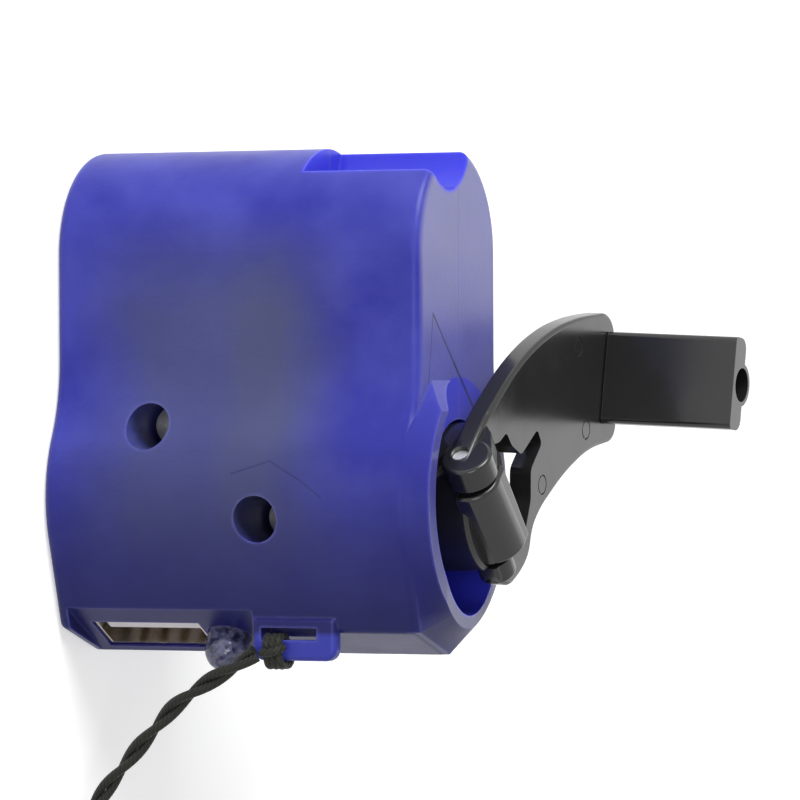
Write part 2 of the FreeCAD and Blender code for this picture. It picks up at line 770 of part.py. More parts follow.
def make_led_leads():
    """Two leads: a wide one that carries the cup and a narrow one beside it."""
    legs = []
    for side, head in ((-LEAD_PITCH / 2, 0.42), (LEAD_PITCH / 2, 0.32)):
        leg = slanted_box(-LEAD_R, LEAD_R, 0.6, LED_IN + LEAD_LEN, LED_Z + side - LEAD_R, LED_Z + side + LEAD_R)
        top = slanted_box(-0.3, 0.3, -LED_OUT + 1.0, 0.6, LED_Z + side - head, LED_Z + side + head)
        legs.append(leg.fuse(top).removeSplitter())
    return Part.makeCompound(legs)


def board_side():
    return USB_HEIGHT / 2 + BOARD_GAP + BOARD_THICK


def make_board():
    return slanted_box(board_side() - BOARD_THICK, board_side(), BOARD_IN[0], BOARD_IN[1], *BOARD_Z)


def make_diodes():
    """Four rectifier diodes in a row on the board."""
    diodes = []
    for place in range(4):
        z = BOARD_Z[0] + 2.0 + place * 4.2
        diodes.append(slanted_box(board_side(), board_side() + 1.1, 15.8, 17.4, z, z + 2.9))
    return Part.makeCompound(diodes)


def make_capacitor():
    side = board_side() + CAPACITOR_R
    return in_port_frame(cylinder(
        CAPACITOR_R, vec(side, 11.6, BOARD_Z[0] + 2.0), vec(side, 11.6, BOARD_Z[0] + 2.0 + CAPACITOR_LEN),
    ))


def make_regulator():
    return slanted_box(board_side(), board_side() + 1.5, 8.4, 13.4, 12.0, 16.0)


def make_generator_wires():
    """Two short wires from the generator's can to the edge of the board."""
    wires = []
    place, along, out = port_frame()
    for z in WIRE_ZS:
        start = vec(0, rotor_y() - CAN_R - WIRE_GAP, z)
        edge = place + along * (board_side() + WIRE_R + WIRE_GAP + 0.5) - out * (BOARD_IN[1] - 0.8)
        end = vec(edge.x, edge.y, z)
        points = [start, vec(1.5, start.y - 4.0, z), vec(5.5, end.y + 8.0, z), end]
        wires.append(tube(points, WIRE_R, "wire"))
    return Part.makeCompound(wires)


# Crank

def hinge_axes():
    """Along the hinge, and across it towards the opened arm."""
    turn = math.radians(HINGE_ANGLE)
    across = vec(math.cos(turn), math.sin(turn))
    along = vec(math.sin(turn), -math.cos(turn))
    return along, across


def in_hinge_frame(shape, tilt):
    """Moves a shape from the hinge's own directions: X along it, Y across it, Z out of the case."""
    along, across = hinge_axes()
    shape.rotate(vec(0, 0), vec(1, 0, 0), tilt)
    shape.rotate(vec(0, 0), Z_AXIS, math.degrees(math.atan2(along.y, along.x)))
    shape.translate(across * -HINGE_OFF + vec(0, 0, CASE_LEN + HINGE_RISE))
    return shape


def hinge_bar(radius, u_from, u_to):
    return cylinder(radius, vec(u_from, 0, 0), vec(u_to, 0, 0))


def make_hub():
    """The round hub in the well, with the raised block that the arm's two ears turn on."""
    top = CASE_LEN + HUB_RISE
    hub = z_bar(HUB_R, HUB_FROM_Z, top)
    rim = edges_where(hub, lambda b: b.ZMin > top - 0.01)
    hub = hub.makeChamfer(HUB_CHAMFER, rim)
    near_end = BLOCK_FROM - EAR_GAP - 0.3
    far_end = BLOCK_TO + 0.1
    near_sweep = near_ear_reach() + EAR_GAP
    far_sweep = FAR_EAR_REACH + EAR_GAP
    ledge_w = HUB_LEDGE_RISE - HINGE_RISE
    cuts = [
        box(-BIG, BIG, HUB_LEDGE_N + HINGE_OFF, BIG, ledge_w, BIG),
        hinge_bar(near_sweep, -BIG, near_end),
        box(-BIG, near_end, -BIG, 0, -near_sweep, BIG),
        box(-BIG, near_end, 0, BIG, ledge_w, BIG),
        hinge_bar(far_sweep, far_end, BIG),
        box(far_end, BIG, 0, BIG, ledge_w, BIG),
        box(HUB_FLAT, BIG, -BIG, BIG, -far_sweep, BIG),
    ]
    for cut in cuts:
        hub = hub.cut(in_hinge_frame(cut, 0))
    hub = joined([hub, in_hinge_frame(hinge_block(), 0)])
    hub = hub.cut(in_hinge_frame(hinge_bar(HINGE_PIN_R + FIXED, -BIG, BIG), 0))
    return hub.cut(z_bar(SHAFT_R + FIXED, 0, HUB_FROM_Z + 6.1))


def near_ear_reach():
    """How far the near ear reaches from the hinge's axis."""
    return NEAR_EAR_R + math.hypot(*NEAR_EAR_CENTRE)


def hinge_block():
    """The wedge between the ears, whose front curves up towards the opened arm."""
    base = HUB_RISE - HINGE_RISE - 0.6
    height = BLOCK_TOP - HINGE_RISE
    ends = []
    for u, front, back in zip((BLOCK_FROM, BLOCK_TO), BLOCK_FRONT, BLOCK_BACK):
        start = vec(u, front + 0.05, BLOCK_CURVE_FROM)
        middle = vec(u, front + 1.2, height - 0.75)
        end = vec(u, front + BLOCK_CURVE_REACH, height)
        corners = [end, vec(u, back, height), vec(u, back, base), vec(u, front, base), start]
        edges = [Part.Arc(start, middle, end).toShape()]
        edges += [Part.LineSegment(a, b).toShape() for a, b in zip(corners, corners[1:])]
        ends.append(Part.Wire(edges))
    block = Part.makeLoft(ends, True, True)
    rims = edges_where(block, lambda b: b.XLength < 0.01 and b.ZMin > BLOCK_CURVE_FROM - 0.1)
    rims += edges_where(block, lambda b: b.XLength > 5 and b.ZMin > height - 0.01 and b.YMin > 0.9)
    return block.makeFillet(BLOCK_ROUND, rims)


def rounded_prism(corners, z_from, z_to):
    """A straight-sided solid over a polygon whose corners are rounded as far as its sides allow."""
    count = len(corners)
    points = [vec(x, y, z_from) for x, y, limit in corners]
    arcs = []
    for index, corner in enumerate(points):
        back = points[index - 1] - corner
        ahead = points[(index + 1) % count] - corner
        reach = min(0.45 * back.Length, 0.45 * ahead.Length, corners[index][2])
        turn = math.pi - back.getAngle(ahead)
        bend = reach / math.tan(turn / 2)
        start = corner + back.normalize() * reach
        end = corner + ahead.normalize() * reach
        inward = (start + end) * 0.5 - corner
        middle = corner + inward.normalize() * (math.hypot(bend, reach) - bend)
        arcs.append((start, middle, end))
    edges = []
    for index, (start, middle, end) in enumerate(arcs):
        edges.append(Part.LineSegment(arcs[index - 1][2], start).toShape())
        edges.append(Part.Arc(start, middle, end).toShape())
    return Part.Face(Part.Wire(edges)).extrude(vec(0, 0, z_to - z_from))


def arm_plate():
    """The arm seen from outside, in the hinge's directions, with its end cut straight at the knob."""
    outline = [
        (NEAR_EAR_OUT, -1.5, 0.5), (-10.6, 4.6, 9.0), (-9.9, 14.0, 9.0), (-8.4, 20.6, 9.0), (-5.9, 26.7, 9.0),
        (-2.5, 32.4, 9.0), (3.05, 39.9, 3.0), (15.64, 31.79, 2.2), (11.2, 25.0, 9.0), (8.8, 17.8, 9.0),
        (7.7, 11.0, 9.0), (7.9, 8.0, 9.0), (9.9, 5.4, 9.0), (9.9, 2.4, 9.0), (9.1, -0.6, 9.0), (7.2, -2.1, 9.0),
        (FAR_EAR_IN, -2.2, 0.5),
    ]
    plate = rounded_prism(outline, -ARM_HALF_THICK, ARM_HALF_THICK)
    rims = edges_where(plate, lambda b: b.ZLength < 0.01)
    return plate.makeFillet(ARM_ROUND, rims)


def arm_window():
    """The cut-out that the hub's block passes through, with its narrow slot."""
    outline = [
        (NEAR_EAR_IN, -9.0, 0.5), (NEAR_EAR_IN, 5.0, 0.6), (-6.1, 6.4, 0.6), (-5.7, 8.6, 0.6), (-3.6, 8.8, 0.6),
        (-1.0, 10.2, 0.6), (-0.4, 15.2, 0.6), (1.7, 15.2, 0.6), (2.1, 11.2, 0.6), (4.9, 9.2, 0.6),
        (7.4, 5.0, 0.6), (7.4, 3.4, 0.6), (FAR_EAR_IN, 2.4, 0.6), (FAR_EAR_IN, -9.0, 0.5),
    ]
    return rounded_prism(outline, -ARM_HALF_THICK - 1, ARM_HALF_THICK + 1)


def near_ear():
    """The stout ear whose end shows the hinge pin, running out into the arm's edge."""
    v, w = NEAR_EAR_CENTRE
    knuckle = cylinder(NEAR_EAR_R, vec(NEAR_EAR_OUT, v, w), vec(NEAR_EAR_IN, v, w))
    knuckle = knuckle.makeFillet(0.4, edges_where(knuckle, lambda b: b.XMax < NEAR_EAR_OUT + 0.01))
    outline = [
        (v, w - NEAR_EAR_R), (6.5, -ARM_HALF_THICK), (5.0, ARM_HALF_THICK), (3.9, 2.2),
        (v + 0.9, w + NEAR_EAR_R - 0.15),
    ]
    corners = [vec(NEAR_EAR_OUT + 0.2, side, rise) for side, rise in outline]
    web = Part.Face(Part.makePolygon(corners + corners[:1])).extrude(vec(NEAR_EAR_IN - NEAR_EAR_OUT - 0.2, 0, 0))
    return knuckle.fuse(web)


def far_ear():
    knuckle = hinge_bar(FAR_EAR_R, FAR_EAR_IN, FAR_EAR_OUT)
    return knuckle.makeFillet(0.6, edges_where(knuckle, lambda b: b.XMin > FAR_EAR_OUT - 0.01))


def make_arm():
    """The folding arm: a flat plate with two ears on the hinge."""
    boss = z_bar(ARM_BOSS_R, -ARM_HALF_THICK, ARM_HALF_THICK, KNOB_U, KNOB_V)
    arm = joined([arm_plate(), boss]).cut(arm_window())
    arm = joined([arm, near_ear(), far_ear()])
    arm = arm.cut(hinge_bar(HINGE_PIN_R + RUN, -BIG, BIG))
    arm = arm.cut(z_bar(KNOB_PIN_R + FIXED, -BIG, BIG, KNOB_U, KNOB_V))
    for u, v in EJECTOR_MARKS:
        ring = z_bar(MARK_R, ARM_HALF_THICK - 0.15, ARM_HALF_THICK + 1, u, v)
        arm = arm.cut(ring.cut(z_bar(MARK_R - MARK_GROOVE, -BIG, BIG, u, v)))
    return in_hinge_frame(arm, HINGE_TILT)


def make_hinge_pin():
    return in_hinge_frame(hinge_bar(HINGE_PIN_R, NEAR_EAR_OUT + 0.35, FAR_EAR_OUT - 0.2), 0)


def knob_from():
    return ARM_HALF_THICK + KNOB_GAP


def knob_to():
    return knob_from() + KNOB_LEN


def make_knob():
    """The grip, flat on one side with a round spine on the other, bored through along its spine."""
    start = vec(0, 0, knob_from())
    end = vec(0, 0, knob_to())
    half = KNOB_WIDTH / 2
    outline = [
        (-KNOB_FRONT, -half, 0.6), (KNOB_BACK, -half, 1.4), (KNOB_BACK, half, 1.4), (-KNOB_FRONT, half, 0.6),
    ]
    slab = rounded_prism(outline, start.z, end.z)
    knob = joined([slab, cylinder(KNOB_SPINE_R, start, end)])
    seat = vec(0, 0, end.z - KNOB_BORE_DEPTH)
    knob = knob.cut(cylinder(KNOB_PIN_R + RUN, start - Z_AXIS, seat + Z_AXIS))
    knob = knob.cut(cylinder(KNOB_BORE_R, seat, end + Z_AXIS))
    knob.rotate(vec(0, 0), Z_AXIS, KNOB_TURN)
    knob.translate(vec(KNOB_U, KNOB_V))
    return in_hinge_frame(knob, HINGE_TILT)


def make_knob_pin():
    """The shouldered pin that holds the knob on the arm, its head sunk in the knob's bore."""
    seat = knob_to() - KNOB_BORE_DEPTH + RUN
    stem = cylinder(KNOB_PIN_R, vec(KNOB_U, KNOB_V, -ARM_HALF_THICK), vec(KNOB_U, KNOB_V, seat))
    head = cylinder(KNOB_BORE_R - 0.15, vec(KNOB_U, KNOB_V, seat), vec(KNOB_U, KNOB_V, seat + 1.3))
    return in_hinge_frame(stem.fuse(head).removeSplitter(), HINGE_TILT)


# Lanyard

def tube(points, radius, name):
    """A round tube of straight runs joined by tangent arcs, as large as the runs allow."""
    edges = []
    last = points[0]
    radii = []
    for before, corner, after in zip(points, points[1:], points[2:]):
        back = before - corner
        ahead = after - corner
        turn = math.pi - back.getAngle(ahead)
        reach = 0.45 * min(back.Length, ahead.Length)
        bend = reach / math.tan(turn / 2)
        radii.append(bend)
        start = corner + back.normalize() * reach
        end = corner + ahead.normalize() * reach
        inward = (start + end) * 0.5 - corner
        centre_far = math.hypot(bend, reach)
        middle = corner + inward.normalize() * (centre_far - bend)
        edges.append(Part.LineSegment(last, start).toShape())
        edges.append(Part.Arc(start, middle, end).toShape())
        last = end
    edges.append(Part.LineSegment(last, points[-1]).toShape())
    path = Part.Wire(edges)
    length = sum(edge.Length for edge in edges)
    solid = swept(path, points[0], points[1] - points[0], radius)
    print(name, "radii", " ".join("%.1f" % bend for bend in radii))
    print(name, "length %.1f, volume %.2f, section times length %.2f" % (
        length, solid.Volume, math.pi * radius ** 2 * length))
    return solid


def swept(path, start, direction, radius):
    ring = Part.Wire([Part.makeCircle(radius, start, direction)])
    solid = path.makePipeShell([ring], True, False)
    return solid


def coil_start():
    """Where the coil begins and which way the cord runs there."""
    angle = math.radians(COIL_START)
    first = COIL_FIRST_R + COIL_STEP
    x, y = on_circle(COIL_CENTRE, first, angle)
    return vec(x, y, CORD_R + COIL_LIFT), vec(-math.sin(angle), math.cos(angle))


def coil_arcs():
    """Quarter turns, each tighter than the one before, that run on from the start of the coil."""
    first = COIL_FIRST_R + COIL_STEP
    start, heading = coil_start()
    centre = vec(COIL_CENTRE[0], COIL_CENTRE[1], start.z)
    quarters = int(4 * COIL_TURNS)
    arcs = []
    radius = first
    for quarter in range(quarters):
        spoke = start - centre
        spoke.normalize()
        side = vec(-spoke.y, spoke.x)
        middle = centre + (spoke + side) * (radius / math.sqrt(2))
        end = centre + side * radius
        arcs.append((start, middle, end, radius))
        step = COIL_STEP / 4 if quarter < 3 else COIL_STEP * 0.44
        centre = centre + side * step
        radius = radius - step
        start = end
    return arcs


def make_lanyard_coil():
    """The part of the lanyard that is put away, wound flat."""
    arcs = coil_arcs()
    start, heading = coil_start()
    lead_in = start - heading * (2 * CORD_R)
    last = arcs[-1]
    out = coil_end_heading(arcs)
    edges = [Part.LineSegment(lead_in, start).toShape()]
    edges += [Part.Arc(first, middle, end).toShape() for first, middle, end, radius in arcs]
    edges.append(Part.LineSegment(last[2], last[2] + out * (2 * CORD_R)).toShape())
    path = Part.Wire(edges)
    print("coil length %.1f, least gap %.2f" % (path.Length, least_gap(path)))
    return swept(path, lead_in, heading, CORD_R)


def coil_end_heading(arcs):
    """The way the cord runs where the last quarter turn ends."""
    start, middle, end, radius = arcs[-1]
    chord_a = middle - start
    chord_b = end - middle
    turn = chord_a.getAngle(chord_b)
    heading = FreeCAD.Rotation(Z_AXIS, math.degrees(turn / 2)).multVec(chord_b)
    heading.normalize()
    return heading


def least_gap(path):
    """The smallest gap between two turns of a tube, measured on points along it."""
    points = path.discretize(Distance=0.5)
    apart = int(COIL_FIRST_R * 2)
    gaps = []
    for index, point in enumerate(points):
        for other in points[index + apart:]:
            gaps.append((point - other).Length)
    return min(gaps) - 2 * CORD_R


def cord_route():
    """The free stretch of the lanyard, from the hitch down to the coil."""
    start, heading = coil_start()
    lead_in = start - heading * (2 * CORD_R)
    return [
        vec(-13.5, -17.05, 25.05),
        vec(-13.5, -18.6, 22.6),
        vec(-13.1, -20.3, 19.2),
        vec(-12.7, -22.2, 15.9),
        vec(-12.2, -25.0, 12.8),
        vec(-11.7, -28.3, 9.6),
        vec(-11.2, -31.6, 6.5),
        vec(-10.9, -36.2, 2.9),
        lead_in - heading * 5.0,
        lead_in,
    ]


def make_lanyard_cord():
    return tube(cord_route(), CORD_R, "lanyard cord")


def make_hitch():
    """The loop with which the lanyard is hitched round the bar of the lug."""
    bar_top = LUG_BOTTOM_Y + LUG_BAR
    outer = box(-14.6, -9.9, -18.8, -14.9, 25.6, 28.4)
    inner = box(LUG_X[0] - 0.05, LUG_X[1] + 0.05, LUG_BOTTOM_Y - 0.05, bar_top + 0.05, 0, CASE_LEN)
    return outer.cut(inner)


def make_knot():
    """The knot that ends the lanyard, flat where the cord runs into it."""
    end = coil_arcs()[-1][2]
    heading = coil_end_heading(coil_arcs())
    face = end + heading * (2 * CORD_R)
    centre = face + heading * (KNOT_R * 0.8)
    ball = Part.makeSphere(KNOT_R, vec(centre.x, centre.y, KNOT_R + 0.05))
    behind = Part.makeBox(10, 10, 10, vec(-10, -5, -5))
    behind.rotate(vec(0, 0), Z_AXIS, math.degrees(math.atan2(heading.y, heading.x)))
    behind.translate(vec(face.x, face.y, 0))
    return ball.cut(behind)


def make_tie():
    """The band that holds the two turns of the coil together."""
    arcs = coil_arcs()
    outer_turn = arcs[1][2]
    inner_turn = arcs[5][2]
    spoke = outer_turn - inner_turn
    half = spoke.Length / 2 + CORD_R + TIE_PLAY
    rise = CORD_R + 0.04
    band = box(-half - TIE_SHEET, half + TIE_SHEET, -1.2, 1.2, -rise - TIE_SHEET, rise + TIE_SHEET)
    band = band.cut(box(-half, half, -BIG, BIG, -rise, rise))
    band.rotate(vec(0, 0), Z_AXIS, math.degrees(math.atan2(spoke.y, spoke.x)))
    band.translate((outer_turn + inner_turn) * 0.5)
    return band


def main():
    os.makedirs(PARTS, exist_ok=True)
    front_shell, rear_shell = make_shells()
    first, second, rotor = gear_axes()
    nodes = {
        "front_shell": front_shell,
        "rear_shell": rear_shell,
        "case_screws": make_case_screws(),
        "crank_hub": make_hub(),
        "drive_shaft": make_drive_shaft(),
        "crank_gear": make_crank_gear(),
        "hub_bush": make_bush(),
        "shaft_clip": make_clip(),
        "crank_arm": make_arm(),
        "hinge_pin": make_hinge_pin(),
        "knob": make_knob(),
        "knob_pin": make_knob_pin(),
        "first_axle": make_axle(first),
        "first_gear": make_first_gear(),
        "second_axle": make_axle(second),
        "second_gear": make_second_gear(),
        "lower_gear_plate": make_lower_plate(),
        "upper_gear_plate": make_upper_plate(),
        "plate_pillars": make_pillars(),
        "generator_can": make_can(),
        "generator_cap": make_cap(),
        "generator_coil": make_coil(),
        "rotor_magnet": make_rotor(),
        "rotor_shaft": make_rotor_shaft(),
        "rotor_pinion": make_rotor_pinion(),
        "generator_wires": make_generator_wires(),
        "circuit_board": make_board(),
        "usb_shell": make_usb_shell(),
        "usb_tongue": make_usb_tongue(),
        "usb_contacts": make_usb_contacts(),
        "led_lens": make_led_lens(),
        "led_leads": make_led_leads(),
        "rectifier_diodes": make_diodes(),
        "smoothing_capacitor": make_capacitor(),
        "regulator_chip": make_regulator(),
        "lanyard_hitch": make_hitch(),
        "lanyard_cord": make_lanyard_cord(),
        "lanyard_coil": make_lanyard_coil(),
        "lanyard_knot": make_knot(),
        "lanyard_tie": make_tie(),
    }
    for name, shape in nodes.items():
        shape.exportStep(os.path.join(PARTS, name + ".step"))
        state = "ok" if shape.isValid() else "NOT VALID"
        print("%-20s %d solids, volume %9.2f, %s" % (name, len(shape.Solids), shape.Volume, state))


main()
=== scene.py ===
import math

import bmesh
import bpy
from mathutils import Matrix, Vector


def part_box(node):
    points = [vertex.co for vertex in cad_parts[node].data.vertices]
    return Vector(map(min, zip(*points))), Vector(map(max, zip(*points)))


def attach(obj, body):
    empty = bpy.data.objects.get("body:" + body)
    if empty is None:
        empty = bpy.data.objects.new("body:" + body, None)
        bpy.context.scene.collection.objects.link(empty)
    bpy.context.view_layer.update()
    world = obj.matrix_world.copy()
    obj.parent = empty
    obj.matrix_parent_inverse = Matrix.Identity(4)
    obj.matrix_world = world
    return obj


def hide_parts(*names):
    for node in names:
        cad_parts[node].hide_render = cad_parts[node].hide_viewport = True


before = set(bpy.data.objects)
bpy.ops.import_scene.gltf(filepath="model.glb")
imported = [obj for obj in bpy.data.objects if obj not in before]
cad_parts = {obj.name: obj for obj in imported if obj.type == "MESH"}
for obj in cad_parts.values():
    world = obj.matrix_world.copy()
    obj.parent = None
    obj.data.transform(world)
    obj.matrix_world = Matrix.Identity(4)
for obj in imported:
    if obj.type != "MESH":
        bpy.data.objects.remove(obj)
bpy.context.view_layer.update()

# The looks of a hand crank phone charger, in metres, in the frame of its CAD model.
# Z runs along the crank axis, Y towards the channel for the folded knob, and -X faces the camera.

MM = 0.001


# Shader helpers

def node(tree, kind, inputs=None, **settings):
    """Adds a shader node, with values or links on its inputs."""
    made = tree.nodes.new("ShaderNode" + kind)
    for key, value in settings.items():
        setattr(made, key, value)
    for key, value in (inputs or {}).items():
        if isinstance(value, bpy.types.NodeSocket):
            tree.links.new(value, made.inputs[key])
        else:
            made.inputs[key].default_value = value
    return made


def maths(tree, operation, first, second=0.0, clamp=False):
    """Works out one value from two."""
    return node(tree, "Math", {0: first, 1: second}, operation=operation, use_clamp=clamp).outputs[0]


def ramp(tree, value, low, high, low_to=0.0, high_to=1.0):
    """Spreads a value from one range to another, without leaving the second."""
    inputs = {"Value": value, "From Min": low, "From Max": high, "To Min": low_to, "To Max": high_to}
    return node(tree, "MapRange", inputs, clamp=True).outputs["Result"]


def blend(tree, share, first, second):
    """Mixes two colours."""
    mix = node(tree, "Mix", data_type="RGBA")
    for socket, value in ((mix.inputs[0], share), (mix.inputs[6], first), (mix.inputs[7], second)):
        if isinstance(value, bpy.types.NodeSocket):
            tree.links.new(value, socket)
        else:
            socket.default_value = value if isinstance(value, float) else (*value, 1.0)
    return mix.outputs[2]


def new_group(name, inputs, outputs):
    """An empty node group with its named sockets, and its input and output nodes."""
    group = bpy.data.node_groups.new(name, "ShaderNodeTree")
    for label, start in inputs:
        socket = group.interface.new_socket(name=label, in_out="INPUT", socket_type="NodeSocketFloat")
        socket.default_value = start
    for label, kind in outputs:
        group.interface.new_socket(name=label, in_out="OUTPUT", socket_type="NodeSocket" + kind)
    return group, group.nodes.new("NodeGroupInput"), group.nodes.new("NodeGroupOutput")


def place_millimetres(tree):
    """The place on the part, in millimetres."""
    place = node(tree, "TexCoord").outputs["Object"]
    return node(tree, "VectorMath", {0: place, "Scale": 1.0 / MM}, operation="SCALE").outputs[0]


def make_moulded_grain():
    """The fine texture of a moulded surface: a height, and a slow change of gloss."""
    inputs = [("Grain per mm", 3.0), ("Coarse share", 0.35)]
    outputs = [("Height", "Float"), ("Gloss change", "Float")]
    group, start, end = new_group("moulded_grain", inputs, outputs)
    place = place_millimetres(group)
    per_mm = start.outputs["Grain per mm"]
    fine = node(group, "TexNoise", {"Vector": place, "Scale": per_mm, "Detail": 2.0, "Roughness": 0.6})
    coarse = node(group, "TexNoise", {"Vector": place, "Scale": 0.35, "Detail": 3.0})
    shares = {0: start.outputs["Coarse share"], 2: fine.outputs["Fac"], 3: coarse.outputs["Fac"]}
    mix = node(group, "Mix", shares)
    gloss = node(group, "TexNoise", {"Vector": place, "Scale": 0.12, "Detail": 4.0, "Roughness": 0.6})
    group.links.new(mix.outputs[0], end.inputs["Height"])
    group.links.new(ramp(group, gloss.outputs["Fac"], 0.3, 0.7, -1.0, 1.0), end.inputs["Gloss change"])
    return group


def make_edge_rub():
    """A mask that is 1 on worn outer edges."""
    inputs = [("Width mm", 0.25), ("Patchiness", 0.6)]
    group, start, end = new_group("edge_rub", inputs, [("Mask", "Float")])
    width = maths(group, "MULTIPLY", start.outputs["Width mm"], MM)
    soft = node(group, "Bevel", {"Radius": width}, samples=4).outputs[0]
    flat = node(group, "NewGeometry").outputs["Normal"]
    likeness = node(group, "VectorMath", {0: soft, 1: flat}, operation="DOT_PRODUCT").outputs["Value"]
    edge = ramp(group, likeness, 0.97, 0.8)
    noise = node(group, "TexNoise", {"Vector": place_millimetres(group), "Scale": 0.9, "Detail": 4.0})
    patches = ramp(group, noise.outputs["Fac"], 0.35, 0.65)
    kept = maths(group, "SUBTRACT", 1.0, start.outputs["Patchiness"])
    share = node(group, "MapRange", {"Value": patches, "To Min": kept, "To Max": 1.0})
    group.links.new(maths(group, "MULTIPLY", edge, share.outputs[0]), end.inputs["Mask"])
    return group


MOULDED_GRAIN = make_moulded_grain()
EDGE_RUB = make_edge_rub()


def new_material(name):
    """A material, with its node tree and its shader."""
    material = bpy.data.materials.new(name)
    material.use_nodes = True
    tree = material.node_tree
    return material, tree, tree.nodes["Principled BSDF"]


def set_plain(shader, **values):
    """Sets what is the same all over the surface."""
    for key, value in values.items():
        label = key.replace("_", " ").title().replace("Ior", "IOR")
        shader.inputs[label].default_value = value


def feed(tree, shader, **links):
    """Links what changes over the surface."""
    for key, value in links.items():
        tree.links.new(value, shader.inputs[key.replace("_", " ").title()])


def plastic(name, colour, worn, roughness, grain=3.0, depth=0.02, spread=0.05, **plain):
    """A moulded plastic with grain, uneven gloss and paler edges."""
    material, tree, shader = new_material(name)
    texture = node(tree, "Group", node_tree=MOULDED_GRAIN)
    texture.inputs["Grain per mm"].default_value = grain
    rub = node(tree, "Group", node_tree=EDGE_RUB)
    tone = blend(tree, rub.outputs["Mask"], colour, worn)
    gloss = maths(tree, "MULTIPLY", texture.outputs["Gloss change"], spread)
    rough = maths(tree, "ADD", gloss, roughness, clamp=True)
    bump = node(tree, "Bump", {"Height": texture.outputs["Height"], "Distance": depth * MM})
    feed(tree, shader, base_color=tone, roughness=rough, normal=bump.outputs[0])
    set_plain(shader, **plain)
    return material


def metal(name, colour, dull, roughness, lay=(1.0, 1.0, 1.0), depth=0.01, spread=0.08):
    """A metal with fine tool marks and dull patches. lay stretches the marks."""
    material, tree, shader = new_material(name)
    place = node(tree, "VectorMath", {0: place_millimetres(tree), 1: lay}, operation="MULTIPLY").outputs[0]
    marks = node(tree, "TexNoise", {"Vector": place, "Scale": 6.0, "Detail": 3.0})
    patches = node(tree, "TexNoise", {"Vector": place_millimetres(tree), "Scale": 0.4, "Detail": 4.0})
    share = ramp(tree, patches.outputs["Fac"], 0.4, 0.7)
    tone = blend(tree, share, colour, dull)
    rough = ramp(tree, patches.outputs["Fac"], 0.3, 0.7, roughness - spread, roughness + spread)
    bump = node(tree, "Bump", {"Height": marks.outputs["Fac"], "Distance": depth * MM})
    feed(tree, shader, base_color=tone, roughness=rough, normal=bump.outputs[0])
    set_plain(shader, metallic=1.0)
    return material


# Where things and painted light and shade show in the case, in millimetres. Two numbers say where a mask starts
# and where it is whole, and three numbers say the low limit, the high limit and the softness of both.
WORKS_Y = (-5.0, 30.0, 6.0)
WORKS_Z = (10.0, 35.0, 5.0)
BAND_Z = (24.5, 36.5, 1.6)
# Painted shade: the case darkens towards -Y, the side away from the light
PAINTED_SHADE_Y = (8.0, -13.0)
CRANK_FACE_Z = (43.2, 43.9)
# Painted light: the crank face grows paler towards +Y
PAINTED_LIGHT_Y = (18.0, 28.0)
LUG_X = (-10.5, -10.9)
LUG_Y = (-14.6, -15.2)
LUG_Z = (24.0, 34.3, 0.1)
NEAR_FACE_X = (-13.0, -14.0)

# The well of the crank and the channel of the knob: centre, radius of the rim, height of the floor
POCKETS = (((0.0, 0.0, 0.0), 13.2, 36.9), ((-2.7, 40.3, 0.0), 6.35, 28.5))


def soft_window(tree, value, low, high, soft):
    """1 between two limits, falling off softly outside them."""
    rise = ramp(tree, value, low - soft, low + soft)
    fall = ramp(tree, value, high + soft, high - soft)
    return maths(tree, "MULTIPLY", rise, fall)


